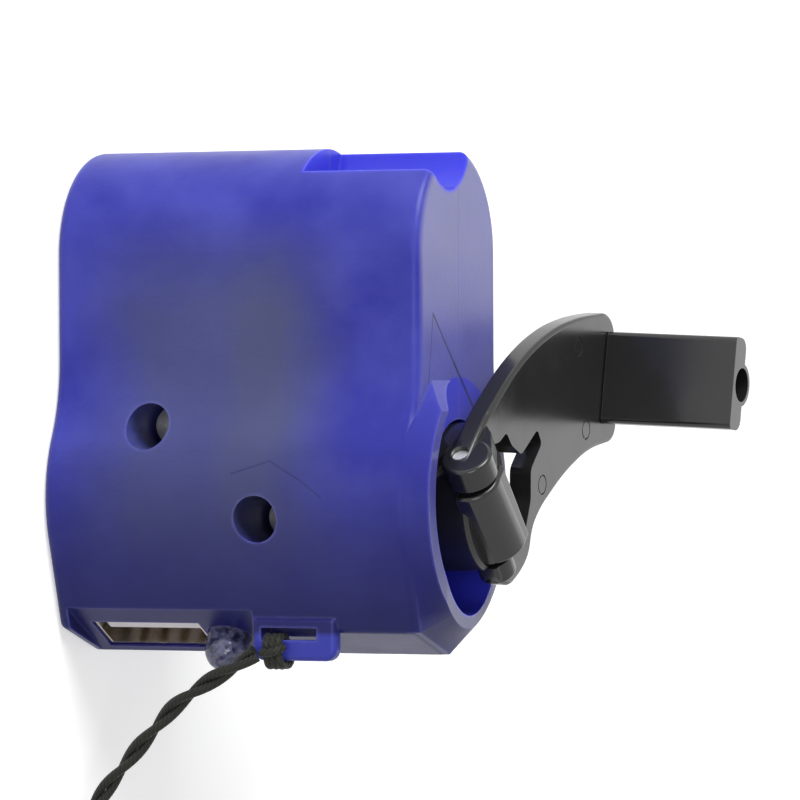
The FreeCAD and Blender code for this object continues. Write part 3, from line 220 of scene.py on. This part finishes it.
def make_painted_light_and_shade():
    """Masks of painted light and shade on the case: the works as a dark blur, the low side, the crank face,
    pockets and lug.
    """
    outputs = [("Works shade", "Float"), ("Low side shade", "Float"), ("Crank face light", "Float"), ("Pocket light", "Float"),
               ("Lug light", "Float"), ("Cloud", "Float")]
    group, _, end = new_group("painted_light_and_shade", [], outputs)
    place = place_millimetres(group)
    spot = node(group, "SeparateXYZ", {0: place}).outputs
    normal = node(group, "SeparateXYZ", {0: node(group, "NewGeometry").outputs["Normal"]}).outputs

    # The works behind the shell, as a blur of painted shade, with limits that wander
    cloud = node(group, "TexNoise", {"Vector": place, "Scale": 0.11, "Detail": 3.0})
    shift = node(group, "VectorMath", {0: cloud.outputs["Color"], "Scale": 6.0}, operation="SCALE")
    moved = node(group, "VectorMath", {0: place, 1: shift.outputs[0]}).outputs[0]
    moved = node(group, "SeparateXYZ", {0: moved}).outputs
    along = soft_window(group, moved["Z"], *WORKS_Z)
    upward = soft_window(group, moved["Y"], *WORKS_Y)
    works = maths(group, "MULTIPLY", along, upward)
    band = soft_window(group, moved["Z"], *BAND_Z)
    works = maths(group, "MULTIPLY", works, ramp(group, band, 0.0, 1.0, 0.8, 1.0))

    # Painted light on the face round the crank, paler towards +Y, where the light comes from
    top = ramp(group, spot["Z"], *CRANK_FACE_Z)
    front = maths(group, "MULTIPLY", top, ramp(group, normal["Z"], 0.75, 0.97))
    front = maths(group, "MULTIPLY", front, ramp(group, spot["Y"], *PAINTED_LIGHT_Y, 0.35, 1.0))

    # Painted light in the round pockets in that face: the saturated blue of light through their thin walls
    flat = node(group, "CombineXYZ", {0: spot["X"], 1: spot["Y"]}).outputs[0]
    pockets = []
    for centre, rim, floor in POCKETS:
        far = node(group, "VectorMath", {0: flat, 1: centre}, operation="DISTANCE").outputs["Value"]
        above = ramp(group, spot["Z"], floor - 0.5, floor)
        pockets.append(maths(group, "MULTIPLY", ramp(group, far, rim + 0.3, rim), above))

    # Painted light on the lug of the lanyard, brighter than the painted shade of the low side
    lug = maths(group, "MULTIPLY", ramp(group, spot["Y"], *LUG_Y), soft_window(group, spot["Z"], *LUG_Z))
    lug = maths(group, "MULTIPLY", lug, ramp(group, spot["X"], *LUG_X))

    group.links.new(works, end.inputs["Works shade"])
    # Painted shade on the low side of the case, away from the light
    group.links.new(ramp(group, spot["Y"], *PAINTED_SHADE_Y), end.inputs["Low side shade"])
    group.links.new(front, end.inputs["Crank face light"])
    group.links.new(maths(group, "MAXIMUM", *pockets), end.inputs["Pocket light"])
    group.links.new(lug, end.inputs["Lug light"])
    group.links.new(cloud.outputs["Fac"], end.inputs["Cloud"])
    return group


def make_faint_line():
    """A thin line between two points of a face, given in millimetres."""
    inputs = [("Across", 0.0), ("Up", 0.0), ("From across", 0.0), ("From up", 0.0),
              ("To across", 1.0), ("To up", 1.0), ("Width mm", 0.2)]
    group, start, end = new_group("faint_line", inputs, [("Mask", "Float")])
    spot, first, last = [
        node(group, "CombineXYZ", {0: start.outputs[index], 1: start.outputs[index + 1]}).outputs[0]
        for index in (0, 2, 4)
    ]
    run = node(group, "VectorMath", {0: last, 1: first}, operation="SUBTRACT").outputs[0]
    gone = node(group, "VectorMath", {0: spot, 1: first}, operation="SUBTRACT").outputs[0]
    reach = node(group, "VectorMath", {0: gone, 1: run}, operation="DOT_PRODUCT").outputs["Value"]
    whole = node(group, "VectorMath", {0: run, 1: run}, operation="DOT_PRODUCT").outputs["Value"]
    share = maths(group, "DIVIDE", reach, whole, clamp=True)
    nearest = node(group, "VectorMath", {0: run, "Scale": share}, operation="SCALE").outputs[0]
    away = node(group, "VectorMath", {0: gone, 1: nearest}, operation="DISTANCE").outputs["Value"]
    limits = {"Value": away, "From Min": start.outputs["Width mm"], "From Max": 0.0}
    near = node(group, "MapRange", limits, clamp=True)
    group.links.new(near.outputs["Result"], end.inputs["Mask"])
    return group


PAINTED_LIGHT_AND_SHADE = make_painted_light_and_shade()
FAINT_LINE = make_faint_line()

# Lines that show in the case, with their widths, in millimetres: on the crank face by X and Y, on the
# near face by Z and Y
CRANK_FACE_LINES = [
    ((-7.7, 20.3), (-1.5, 14.9), 0.22), ((-1.5, 14.9), (5.4, 9.0), 0.32),
    ((-7.7, 20.3), (-9.05, 12.7), 0.12),
]
NEAR_FACE_LINES = [
    ((23.0, 2.8), (27.5, 4.2), 0.16), ((27.5, 4.2), (31.2, 2.1), 0.16), ((31.2, 2.1), (33.8, 0.2), 0.12),
]

# What lies over the colour of the case, in turn, all of it painted shade or painted light: the mask, how much of
# it, and the colour there
CASE_PAINTED_LIGHT_AND_SHADE = [
    ("Works shade", 0.8, (0.074, 0.084, 0.15)),
    ("Low side shade", 0.9, (0.005, 0.005, 0.085)),
    ("Crank face light", 0.6, (0.26, 0.26, 0.44)),
    ("Pocket light", 0.9, (0.04, 0.045, 0.62)),
    ("Lug light", 0.8, (0.045, 0.055, 0.42)),
]


def lines_mask(tree, across, up, lines):
    """A mask of several faint lines."""
    whole = 0.0
    for first, last, width in lines:
        line = node(tree, "Group", node_tree=FAINT_LINE)
        tree.links.new(across, line.inputs["Across"])
        tree.links.new(up, line.inputs["Up"])
        for label, value in zip(("From across", "From up", "To across", "To up"), (*first, *last)):
            line.inputs[label].default_value = value
        line.inputs["Width mm"].default_value = width
        whole = maths(tree, "MAXIMUM", whole, line.outputs["Mask"])
    return whole


def tint(tree, tone, mask, share, colour):
    """Lays a share of a colour over a tone where a mask says so."""
    return blend(tree, maths(tree, "MULTIPLY", mask, share, clamp=True), tone, colour)


def frosted_case(name):
    """The translucent blue-violet plastic of the case, with the works as a dark blur of painted shade behind it,
    and painted light and shade on its faces.
    """
    material, tree, shader = new_material(name)
    texture = node(tree, "Group", node_tree=MOULDED_GRAIN)
    texture.inputs["Grain per mm"].default_value = 2.2
    rub = node(tree, "Group", node_tree=EDGE_RUB)
    rub.inputs["Width mm"].default_value = 0.6
    rub.inputs["Patchiness"].default_value = 0.3
    inner = node(tree, "Group", node_tree=PAINTED_LIGHT_AND_SHADE)
    cloud = ramp(tree, inner.outputs["Cloud"], 0.35, 0.65)
    tone = blend(tree, cloud, (0.022, 0.025, 0.3), (0.05, 0.056, 0.38))
    # Painted shade and painted light laid over the tone
    for label, share, colour in CASE_PAINTED_LIGHT_AND_SHADE:
        tone = tint(tree, tone, inner.outputs[label], share, colour)
    tone = tint(tree, tone, rub.outputs["Mask"], 0.4, (0.2, 0.2, 0.6))
    spot = node(tree, "SeparateXYZ", {0: place_millimetres(tree)}).outputs
    crank_lines = lines_mask(tree, spot["X"], spot["Y"], CRANK_FACE_LINES)
    crank_lines = maths(tree, "MULTIPLY", crank_lines, inner.outputs["Crank face light"])
    near_lines = lines_mask(tree, spot["Z"], spot["Y"], NEAR_FACE_LINES)
    near_lines = maths(tree, "MULTIPLY", near_lines, ramp(tree, spot["X"], *NEAR_FACE_X))
    tone = tint(tree, tone, crank_lines, 3.0, (0.006, 0.006, 0.05))
    tone = tint(tree, tone, near_lines, 0.8, (0.02, 0.02, 0.1))
    gloss = maths(tree, "MULTIPLY", texture.outputs["Gloss change"], 0.04)
    rough = maths(tree, "ADD", gloss, 0.36, clamp=True)
    bump = node(tree, "Bump", {"Height": texture.outputs["Height"], "Distance": 0.03 * MM})
    feed(tree, shader, base_color=tone, roughness=rough, normal=bump.outputs[0])
    set_plain(shader, subsurface_weight=0.5, subsurface_scale=MM, transmission_weight=0.1, specular_ior_level=0.2)
    shader.inputs["Subsurface Radius"].default_value = (0.4, 0.4, 2.0)
    return material


def clear_lamp(name):
    """The clear resin of the status light, with pale and dark patches inside."""
    material, tree, shader = new_material(name)
    place = place_millimetres(tree)
    haze = node(tree, "TexNoise", {"Vector": place, "Scale": 1.2, "Detail": 3.0})
    tone = blend(tree, ramp(tree, haze.outputs["Fac"], 0.35, 0.6), (0.03, 0.03, 0.09), (0.22, 0.23, 0.4))
    bump = node(tree, "Bump", {"Height": haze.outputs["Fac"], "Distance": 0.05 * MM})
    feed(tree, shader, base_color=tone, roughness=ramp(tree, haze.outputs["Fac"], 0.3, 0.7, 0.02, 0.1),
         normal=bump.outputs[0])
    set_plain(shader, transmission_weight=0.5, ior=1.5)
    return material


def strand_weave(name):
    """The braided cover of the lanyard's strands, drawn along their own length."""
    material, tree, shader = new_material(name)
    along = node(tree, "UVMap", uv_map="strand").outputs[0]
    braid = {"Vector": along, "Scale": 1.0, "Distortion": 0.6}
    wave = node(tree, "TexWave", braid, bands_direction="DIAGONAL")
    fibres = node(tree, "TexNoise", {"Vector": along, "Scale": 8.0, "Detail": 4.0})
    height = node(tree, "Mix", {0: 0.35, 2: wave.outputs["Fac"], 3: fibres.outputs["Fac"]})
    tone = blend(tree, height.outputs[0], (0.003, 0.003, 0.002), (0.016, 0.017, 0.011))
    bump = node(tree, "Bump", {"Height": height.outputs[0], "Distance": 0.08 * MM})
    feed(tree, shader, base_color=tone, normal=bump.outputs[0],
         roughness=ramp(tree, fibres.outputs["Fac"], 0.3, 0.7, 0.5, 0.75))
    set_plain(shader, sheen_weight=0.08, sheen_roughness=0.4, specular_ior_level=0.3)
    return material


def copper_winding(name):
    """Enamelled copper wire, wound in close turns."""
    material, tree, shader = new_material(name)
    place = place_millimetres(tree)
    turns = node(tree, "TexWave", {"Vector": place, "Scale": 1.6, "Distortion": 0.4}, bands_direction="Z")
    tone = blend(tree, turns.outputs["Fac"], (0.2, 0.05, 0.02), (0.72, 0.3, 0.14))
    bump = node(tree, "Bump", {"Height": turns.outputs["Fac"], "Distance": 0.15 * MM})
    feed(tree, shader, base_color=tone, normal=bump.outputs[0],
         roughness=ramp(tree, turns.outputs["Fac"], 0.0, 1.0, 0.45, 0.28))
    set_plain(shader, metallic=0.85)
    return material


def circuit_board(name):
    """Green solder resist with faint tracks and tinned pads."""
    material, tree, shader = new_material(name)
    place = place_millimetres(tree)
    tracks = node(tree, "TexBrick", {"Vector": place, "Scale": 0.9, "Mortar Size": 0.03}, offset=0.3)
    pads = node(tree, "TexVoronoi", {"Vector": place, "Scale": 0.45})
    pad = ramp(tree, pads.outputs["Distance"], 0.22, 0.18)
    green = blend(tree, tracks.outputs["Fac"], (0.01, 0.09, 0.03), (0.02, 0.2, 0.07))
    bump = node(tree, "Bump", {"Height": tracks.outputs["Fac"], "Distance": 0.03 * MM})
    tone = blend(tree, pad, green, (0.6, 0.6, 0.6))
    rough = ramp(tree, pads.outputs["Distance"], 0.0, 1.0, 0.3, 0.45)
    feed(tree, shader, base_color=tone, metallic=pad, roughness=rough, normal=bump.outputs[0])
    return material


# Finishes of the CAD nodes

BLACK = (0.012, 0.012, 0.013)
RUBBED = (0.05, 0.05, 0.052)
CASE = frosted_case("case_frosted_blue")
STEEL = metal("turned_steel", (0.55, 0.55, 0.57), (0.4, 0.4, 0.41), 0.3, lay=(1.0, 1.0, 4.0))
ZINC = metal("zinc_plate", (0.6, 0.61, 0.63), (0.48, 0.49, 0.5), 0.38)
BRASS = metal("brass", (0.72, 0.5, 0.2), (0.5, 0.34, 0.14), 0.32)
NYLON = plastic(
    "gear_nylon", (0.72, 0.7, 0.62), (0.8, 0.79, 0.74), 0.48, subsurface_weight=0.2, subsurface_scale=MM,
)
CRANK = plastic("crank_gloss_black", BLACK, RUBBED, 0.22, grain=1.4, depth=0.006, spread=0.06)
KNOB = plastic("knob_gloss_black", BLACK, RUBBED, 0.18, grain=1.2, depth=0.005, spread=0.05)
CHIP = plastic("chip_black", (0.02, 0.02, 0.02), (0.05, 0.05, 0.05), 0.5)
WEAVE = strand_weave("lanyard_weave")

FINISHES = {
    CASE: ["front_shell", "rear_shell"],
    CRANK: ["crank_hub", "crank_arm", "knob_pin"],
    KNOB: ["knob"],
    metal("pin_steel", (0.9, 0.9, 0.9), (0.7, 0.7, 0.7), 0.5): ["hinge_pin"],
    STEEL: ["drive_shaft", "first_axle", "second_axle", "rotor_shaft"],
    ZINC: ["lower_gear_plate", "upper_gear_plate", "plate_pillars", "generator_can", "shaft_clip"],
    BRASS: ["hub_bush", "rotor_pinion"],
    NYLON: ["crank_gear", "first_gear", "second_gear"],
    CHIP: ["rectifier_diodes", "regulator_chip"],
    metal("screw_steel", (0.3, 0.3, 0.31), (0.2, 0.2, 0.2), 0.35): ["case_screws"],
    plastic("cap_black", (0.04, 0.04, 0.04), (0.08, 0.08, 0.08), 0.5): ["generator_cap"],
    copper_winding("copper_winding"): ["generator_coil"],
    metal("magnet_ferrite", (0.12, 0.12, 0.13), (0.07, 0.07, 0.07), 0.5): ["rotor_magnet"],
    plastic("wire_cover", (0.5, 0.03, 0.02), (0.6, 0.1, 0.08), 0.4): ["generator_wires"],
    circuit_board("board_green"): ["circuit_board"],
    metal("socket_plate", (0.62, 0.58, 0.52), (0.42, 0.36, 0.3), 0.24, lay=(1.0, 1.0, 0.3)): ["usb_shell"],
    plastic("tongue_white", (0.75, 0.71, 0.74), (0.8, 0.78, 0.8), 0.4): ["usb_tongue"],
    metal("contact_gold", (0.85, 0.62, 0.25), (0.7, 0.45, 0.18), 0.2): ["usb_contacts"],
    clear_lamp("lamp_clear"): ["led_lens"],
    metal("lead_tin", (0.75, 0.75, 0.76), (0.55, 0.55, 0.56), 0.25): ["led_leads"],
    plastic("capacitor_sleeve", (0.02, 0.03, 0.1), (0.1, 0.1, 0.2), 0.3): ["smoothing_capacitor"],
    plastic("tie_black", (0.03, 0.03, 0.03), (0.08, 0.08, 0.08), 0.45): ["lanyard_tie"],
}
for finish, names in FINISHES.items():
    for name in names:
        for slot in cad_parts[name].material_slots:
            slot.material = finish


# Pieces

def add_object(name, data):
    """Puts an object in the scene."""
    made = bpy.data.objects.new(name, data)
    bpy.context.collection.objects.link(made)
    return made


# Lanyard. Radii, steps and lengths are in metres, places are in millimetres.

STRAND_R = 0.5 * MM
STRAND_PITCH = 13.0 * MM
STRANDS_APART = 0.98 * STRAND_R
LINE_STEP = 0.45 * MM
TUBE_SIDES = 10

# From the lug down towards the floor
FREE_ROUTE = (
    (-13.5, -17.05, 25.05), (-13.5, -18.6, 22.6), (-13.1, -20.3, 19.2), (-12.7, -22.2, 15.9),
    (-12.2, -25.0, 12.8), (-11.7, -28.3, 9.6), (-11.2, -31.6, 6.5), (-10.9, -36.2, 2.9),
)

# The coil as in the CAD model: two turns, made of quarters whose centres step inwards
COIL_CENTRE = (-5.5, -53.0, 1.35)
COIL_R = 11.5
COIL_STEP = 2.5
COIL_START = math.radians(150.0)
COIL_QUARTERS = 8
OUTER_QUARTERS = 3
OUTER_SHIFT = COIL_STEP / 4
INNER_SHIFT = COIL_STEP * 0.44
COIL_ENDS = 2.0
LEAD_IN = 5.0
TURN_POINTS = 16

# The knot at the end of the coil
KNOT_STRAND_R = 0.9 * STRAND_R
KNOT_REACH = 1.1 * MM
KNOT_SHIFTS = (-0.2 * MM, 0.2 * MM)
KNOT_LIFT = 1.2
KNOT_POINTS = 64

# The turns round the bar of the lug, and the bight that crosses them
HITCH_STRAND_R = 0.96 * STRAND_R
BAR_X, BAR_Y = -11.6, -16.85
TURNS_X, TURNS_Y = 1.36, 1.5
TURNS_Z = (26.1, 27.95)
TURNS_START = math.pi * 0.6
TURNS = 2.75
TURNS_POINTS = 100
BIGHT = (
    (-13.3, -17.0, 25.7), (-13.75, -17.0, 26.3), (-13.95, -16.9, 27.1), (-13.6, -16.6, 27.9),
    (-12.9, -16.3, 28.1),
)
BIGHT_STEP = 0.2 * MM


def coil_points():
    """The control points of the coil, and the direction in which it ends."""
    points = []
    centre = Vector(COIL_CENTRE)
    radius = COIL_R
    spoke = Vector((math.cos(COIL_START), math.sin(COIL_START), 0.0))
    quarter_turn = Matrix.Rotation(math.pi / 2, 3, "Z")
    per_quarter = TURN_POINTS // 4
    # A curve runs a little inside its control points
    swell = 1.0 / math.cos(math.pi / TURN_POINTS) ** 0.5
    for quarter in range(COIL_QUARTERS):
        for step in range(per_quarter):
            turn = Matrix.Rotation(math.pi / 2 * (step + 0.5) / per_quarter, 3, "Z")
            points.append(centre + turn @ spoke * radius * swell)
        spoke = quarter_turn @ spoke
        shift = OUTER_SHIFT if quarter < OUTER_QUARTERS else INNER_SHIFT
        centre = centre + spoke * shift
        radius -= shift
    heading = quarter_turn @ spoke
    return points + [centre + spoke * radius + heading * COIL_ENDS], heading


def lanyard_route():
    """The route of the lanyard from the lug down to the floor and round its coil."""
    spoke = Vector((math.cos(COIL_START), math.sin(COIL_START), 0.0))
    heading = Vector((-math.sin(COIL_START), math.cos(COIL_START), 0.0))
    lead_in = Vector(COIL_CENTRE) + spoke * COIL_R - heading * COIL_ENDS
    turns, away = coil_points()
    route = [Vector(point) for point in FREE_ROUTE] + [lead_in - heading * LEAD_IN, lead_in] + turns
    return [point * MM for point in route], away


def smooth_line(points):
    """The points of the smooth NURBS curve that a route controls."""
    curve = bpy.data.curves.new("route", "CURVE")
    curve.dimensions = "3D"
    spline = curve.splines.new("NURBS")
    spline.points.add(len(points) - 1)
    for control, point in zip(spline.points, points):
        control.co = (*point, 1.0)
    spline.order_u = 3
    spline.use_endpoint_u = True
    spline.resolution_u = 8
    carrier = add_object("route", curve)
    mesh = bpy.data.meshes.new_from_object(carrier)
    line = [vertex.co.copy() for vertex in mesh.vertices]
    bpy.data.objects.remove(carrier)
    bpy.data.meshes.remove(mesh)
    return line


def even_points(line, step):
    """Points along a line, a step apart, and its end unless the last of them is nearly there."""
    made = [line[0].copy()]
    left = step
    for first, second in zip(line, line[1:]):
        run = (second - first).length
        done = 0.0
        while run - done >= left:
            done += left
            made.append(first.lerp(second, done / run))
            left = step
        left -= run - done
    if (made[-1] - line[-1]).length > step * 0.3:
        made.append(line[-1].copy())
    return made


def add_tube(mesh, centres, radius):
    """Adds a closed tube along points to a mesh, with its length and girth in millimetres as UVs."""
    layer = mesh.loops.layers.uv.get("strand") or mesh.loops.layers.uv.new("strand")
    rings = []
    marks = []
    side = Vector((0, 0, 1))
    travelled = 0.0
    for index, centre in enumerate(centres):
        before = centres[max(index - 1, 0)]
        after = centres[min(index + 1, len(centres) - 1)]
        ahead = (after - before).normalized()
        if abs(side.dot(ahead)) < 0.99:
            side = (side - ahead * side.dot(ahead)).normalized()
        else:
            side = ahead.orthogonal().normalized()
        across = ahead.cross(side)
        ring = []
        for corner in range(TUBE_SIDES):
            angle = 2 * math.pi * corner / TUBE_SIDES
            out = side * math.cos(angle) + across * math.sin(angle)
            ring.append(mesh.verts.new(centre + out * radius))
        rings.append(ring)
        travelled += (centre - before).length / MM
        marks.append(travelled)
    girth = 2 * math.pi * STRAND_R / MM
    for near, far, near_mark, far_mark in zip(rings, rings[1:], marks, marks[1:]):
        for corner in range(TUBE_SIDES):
            follow = (corner + 1) % TUBE_SIDES
            face = mesh.faces.new((near[corner], near[follow], far[follow], far[corner]))
            face.smooth = True
            low, high = girth * corner / TUBE_SIDES, girth * (corner + 1) / TUBE_SIDES
            spots = ((near_mark, low), (near_mark, high), (far_mark, high), (far_mark, low))
            for loop, spot in zip(face.loops, spots):
                loop[layer].uv = spot
    for ring in (rings[0][::-1], rings[-1]):
        mesh.faces.new(ring)


def finish_piece(name, mesh):
    """Turns a mesh under construction into a piece of the lanyard, which rides on the case."""
    bmesh.ops.recalc_face_normals(mesh, faces=mesh.faces[:])
    data = bpy.data.meshes.new(name)
    mesh.to_mesh(data)
    mesh.free()
    data.materials.append(WEAVE)
    piece = add_object(name, data)
    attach(piece, "case")
    return piece


def twisted_strands(line, pitch, spread):
    """The paths of two strands that wind round each other along a line of even points."""
    paths = ([], [])
    side = Vector((0, 0, 1))
    step = (line[1] - line[0]).length
    for index, centre in enumerate(line):
        ahead = (line[min(index + 1, len(line) - 1)] - line[max(index - 1, 0)]).normalized()
        side = (side - ahead * side.dot(ahead)).normalized()
        across = ahead.cross(side)
        angle = 2 * math.pi * index * step / pitch
        out = (side * math.cos(angle) + across * math.sin(angle)) * spread
        paths[0].append(centre + out)
        paths[1].append(centre - out)
    return paths


def make_lanyard():
    """The two strands from the lug to the end of the coil, the line between them and its last direction."""
    route, away = lanyard_route()
    line = even_points(smooth_line(route), LINE_STEP)
    mesh = bmesh.new()
    for path in twisted_strands(line, STRAND_PITCH, STRANDS_APART):
        add_tube(mesh, path, STRAND_R)
    cord = finish_piece("lanyard_strands", mesh)
    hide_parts("lanyard_cord", "lanyard_coil")
    return cord, line, away


def overhand(centre, heading):
    """A closed trefoil, the path of an overhand knot drawn tight."""
    turn = heading.to_track_quat("X", "Z").to_matrix()
    points = []
    for index in range(KNOT_POINTS + 1):
        angle = 2 * math.pi * index / KNOT_POINTS
        trefoil = Vector((
            math.sin(angle) + 2 * math.sin(2 * angle),
            math.cos(angle) - 2 * math.cos(2 * angle),
            -math.sin(3 * angle) * KNOT_LIFT,
        )) / 3.0
        points.append(centre + turn @ trefoil * KNOT_REACH)
    return points


def make_knot(heading):
    """The end knot, with both strands side by side, where the CAD model has its knot."""
    low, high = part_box("lanyard_knot")
    centre = (Vector(low) + Vector(high)) / 2
    mesh = bmesh.new()
    for shift in KNOT_SHIFTS:
        add_tube(mesh, overhand(centre + Vector((0, 0, shift)), heading), KNOT_STRAND_R)
    knot = finish_piece("lanyard_end_knot", mesh)
    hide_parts("lanyard_knot")
    return knot


def make_hitch():
    """Turns of the strands round the lug's bar, with the bight that crosses them."""
    mesh = bmesh.new()
    points = []
    low, high = TURNS_Z
    for index in range(TURNS_POINTS + 1):
        share = index / TURNS_POINTS
        angle = TURNS_START + share * TURNS * 2 * math.pi
        # The bar is square, so the turns stand out further at its corners
        bulge = 1.12 - 0.12 * math.cos(4 * angle)
        x = BAR_X + TURNS_X * bulge * math.cos(angle)
        y = BAR_Y + TURNS_Y * bulge * math.sin(angle)
        points.append(Vector((x, y, low + share * (high - low))) * MM)
    add_tube(mesh, points, HITCH_STRAND_R)
    bight = smooth_line([Vector(point) * MM for point in BIGHT])
    add_tube(mesh, even_points(bight, BIGHT_STEP), HITCH_STRAND_R)
    hitch = finish_piece("lanyard_hitch_turns", mesh)
    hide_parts("lanyard_hitch")


cord, cord_line, cord_heading = make_lanyard()
knot = make_knot(cord_heading)
make_hitch()


# Camera

def make_camera():
    """The photograph's view: rolled by a quarter turn, so that +Y points up."""
    right = Vector((0.37677125, -0.00435546, 0.92629609))
    up = Vector((0.00535044, 0.9999825, 0.00252564))
    ahead = Vector((0.92629088, -0.0040045, -0.37678796))
    place = (-0.57480104, 0.0132844, 0.27071877)
    data = bpy.data.cameras.new("camera")
    data.lens = 249.95
    data.sensor_width = 36.0
    data.clip_start = 0.05
    data.clip_end = 20.0
    camera = add_object("camera", data)
    turn = Matrix((right, up, -ahead)).transposed()
    camera.matrix_world = Matrix.Translation(place) @ turn.to_4x4()
    bpy.context.scene.camera = camera


# Floor, lamps and world

FLOOR_GLOW = 0.45
WORLD_LIGHT = 0.36
LAMP_AIM = Vector((0.0, 0.008, 0.025))


def background_rays(tree):
    """1 for the rays that show the background: those of the camera, in gloss and through glass."""
    path = node(tree, "LightPath")
    seen = maths(tree, "MAXIMUM", path.outputs["Is Camera Ray"], path.outputs["Is Glossy Ray"])
    return maths(tree, "MAXIMUM", seen, path.outputs["Is Transmission Ray"])


def make_floor():
    """A pale floor that looks white where it is lit and keeps the shadow."""
    mesh = bmesh.new()
    bmesh.ops.create_grid(mesh, x_segments=1, y_segments=1, size=4.0)
    data = bpy.data.meshes.new("floor")
    mesh.to_mesh(data)
    mesh.free()
    floor = add_object("floor", data)
    material, tree, shader = new_material("floor_white")
    set_plain(shader, roughness=0.9, specular_ior_level=0.0)
    set_plain(shader, base_color=(0.8, 0.8, 0.8, 1.0), emission_color=(1.0, 1.0, 1.0, 1.0))
    feed(tree, shader, emission_strength=maths(tree, "MULTIPLY", background_rays(tree), FLOOR_GLOW))
    data.materials.append(material)


def make_world():
    """A white background that lights the object less than it shows."""
    world = bpy.data.worlds.new("studio")
    bpy.context.scene.world = world
    world.use_nodes = True
    tree = world.node_tree
    background = tree.nodes["Background"]
    background.inputs["Color"].default_value = (1.0, 1.0, 1.0, 1.0)
    strength = ramp(tree, background_rays(tree), 0.0, 1.0, WORLD_LIGHT, 1.0)
    tree.links.new(strength, background.inputs["Strength"])


def add_lamp(name, place, size, power):
    """A round soft lamp, in metres and watts, aimed at the object."""
    data = bpy.data.lights.new(name, "AREA")
    data.shape = "DISK"
    data.size = size
    data.energy = power
    lamp = add_object(name, data)
    lamp.location = place
    lamp.rotation_euler = (LAMP_AIM - Vector(place)).to_track_quat("-Z", "Y").to_euler()


make_camera()
make_floor()
make_world()
add_lamp("key_lamp", (-0.25, 0.6, 0.45), 0.5, 6.5)
add_lamp("front_lamp", (-0.9, -0.1, 0.5), 0.5, 2.6)
add_lamp("far_lamp", (0.85, 0.05, 0.36), 0.6, 0.55)

bpy.context.scene.view_settings.view_transform = "Standard"
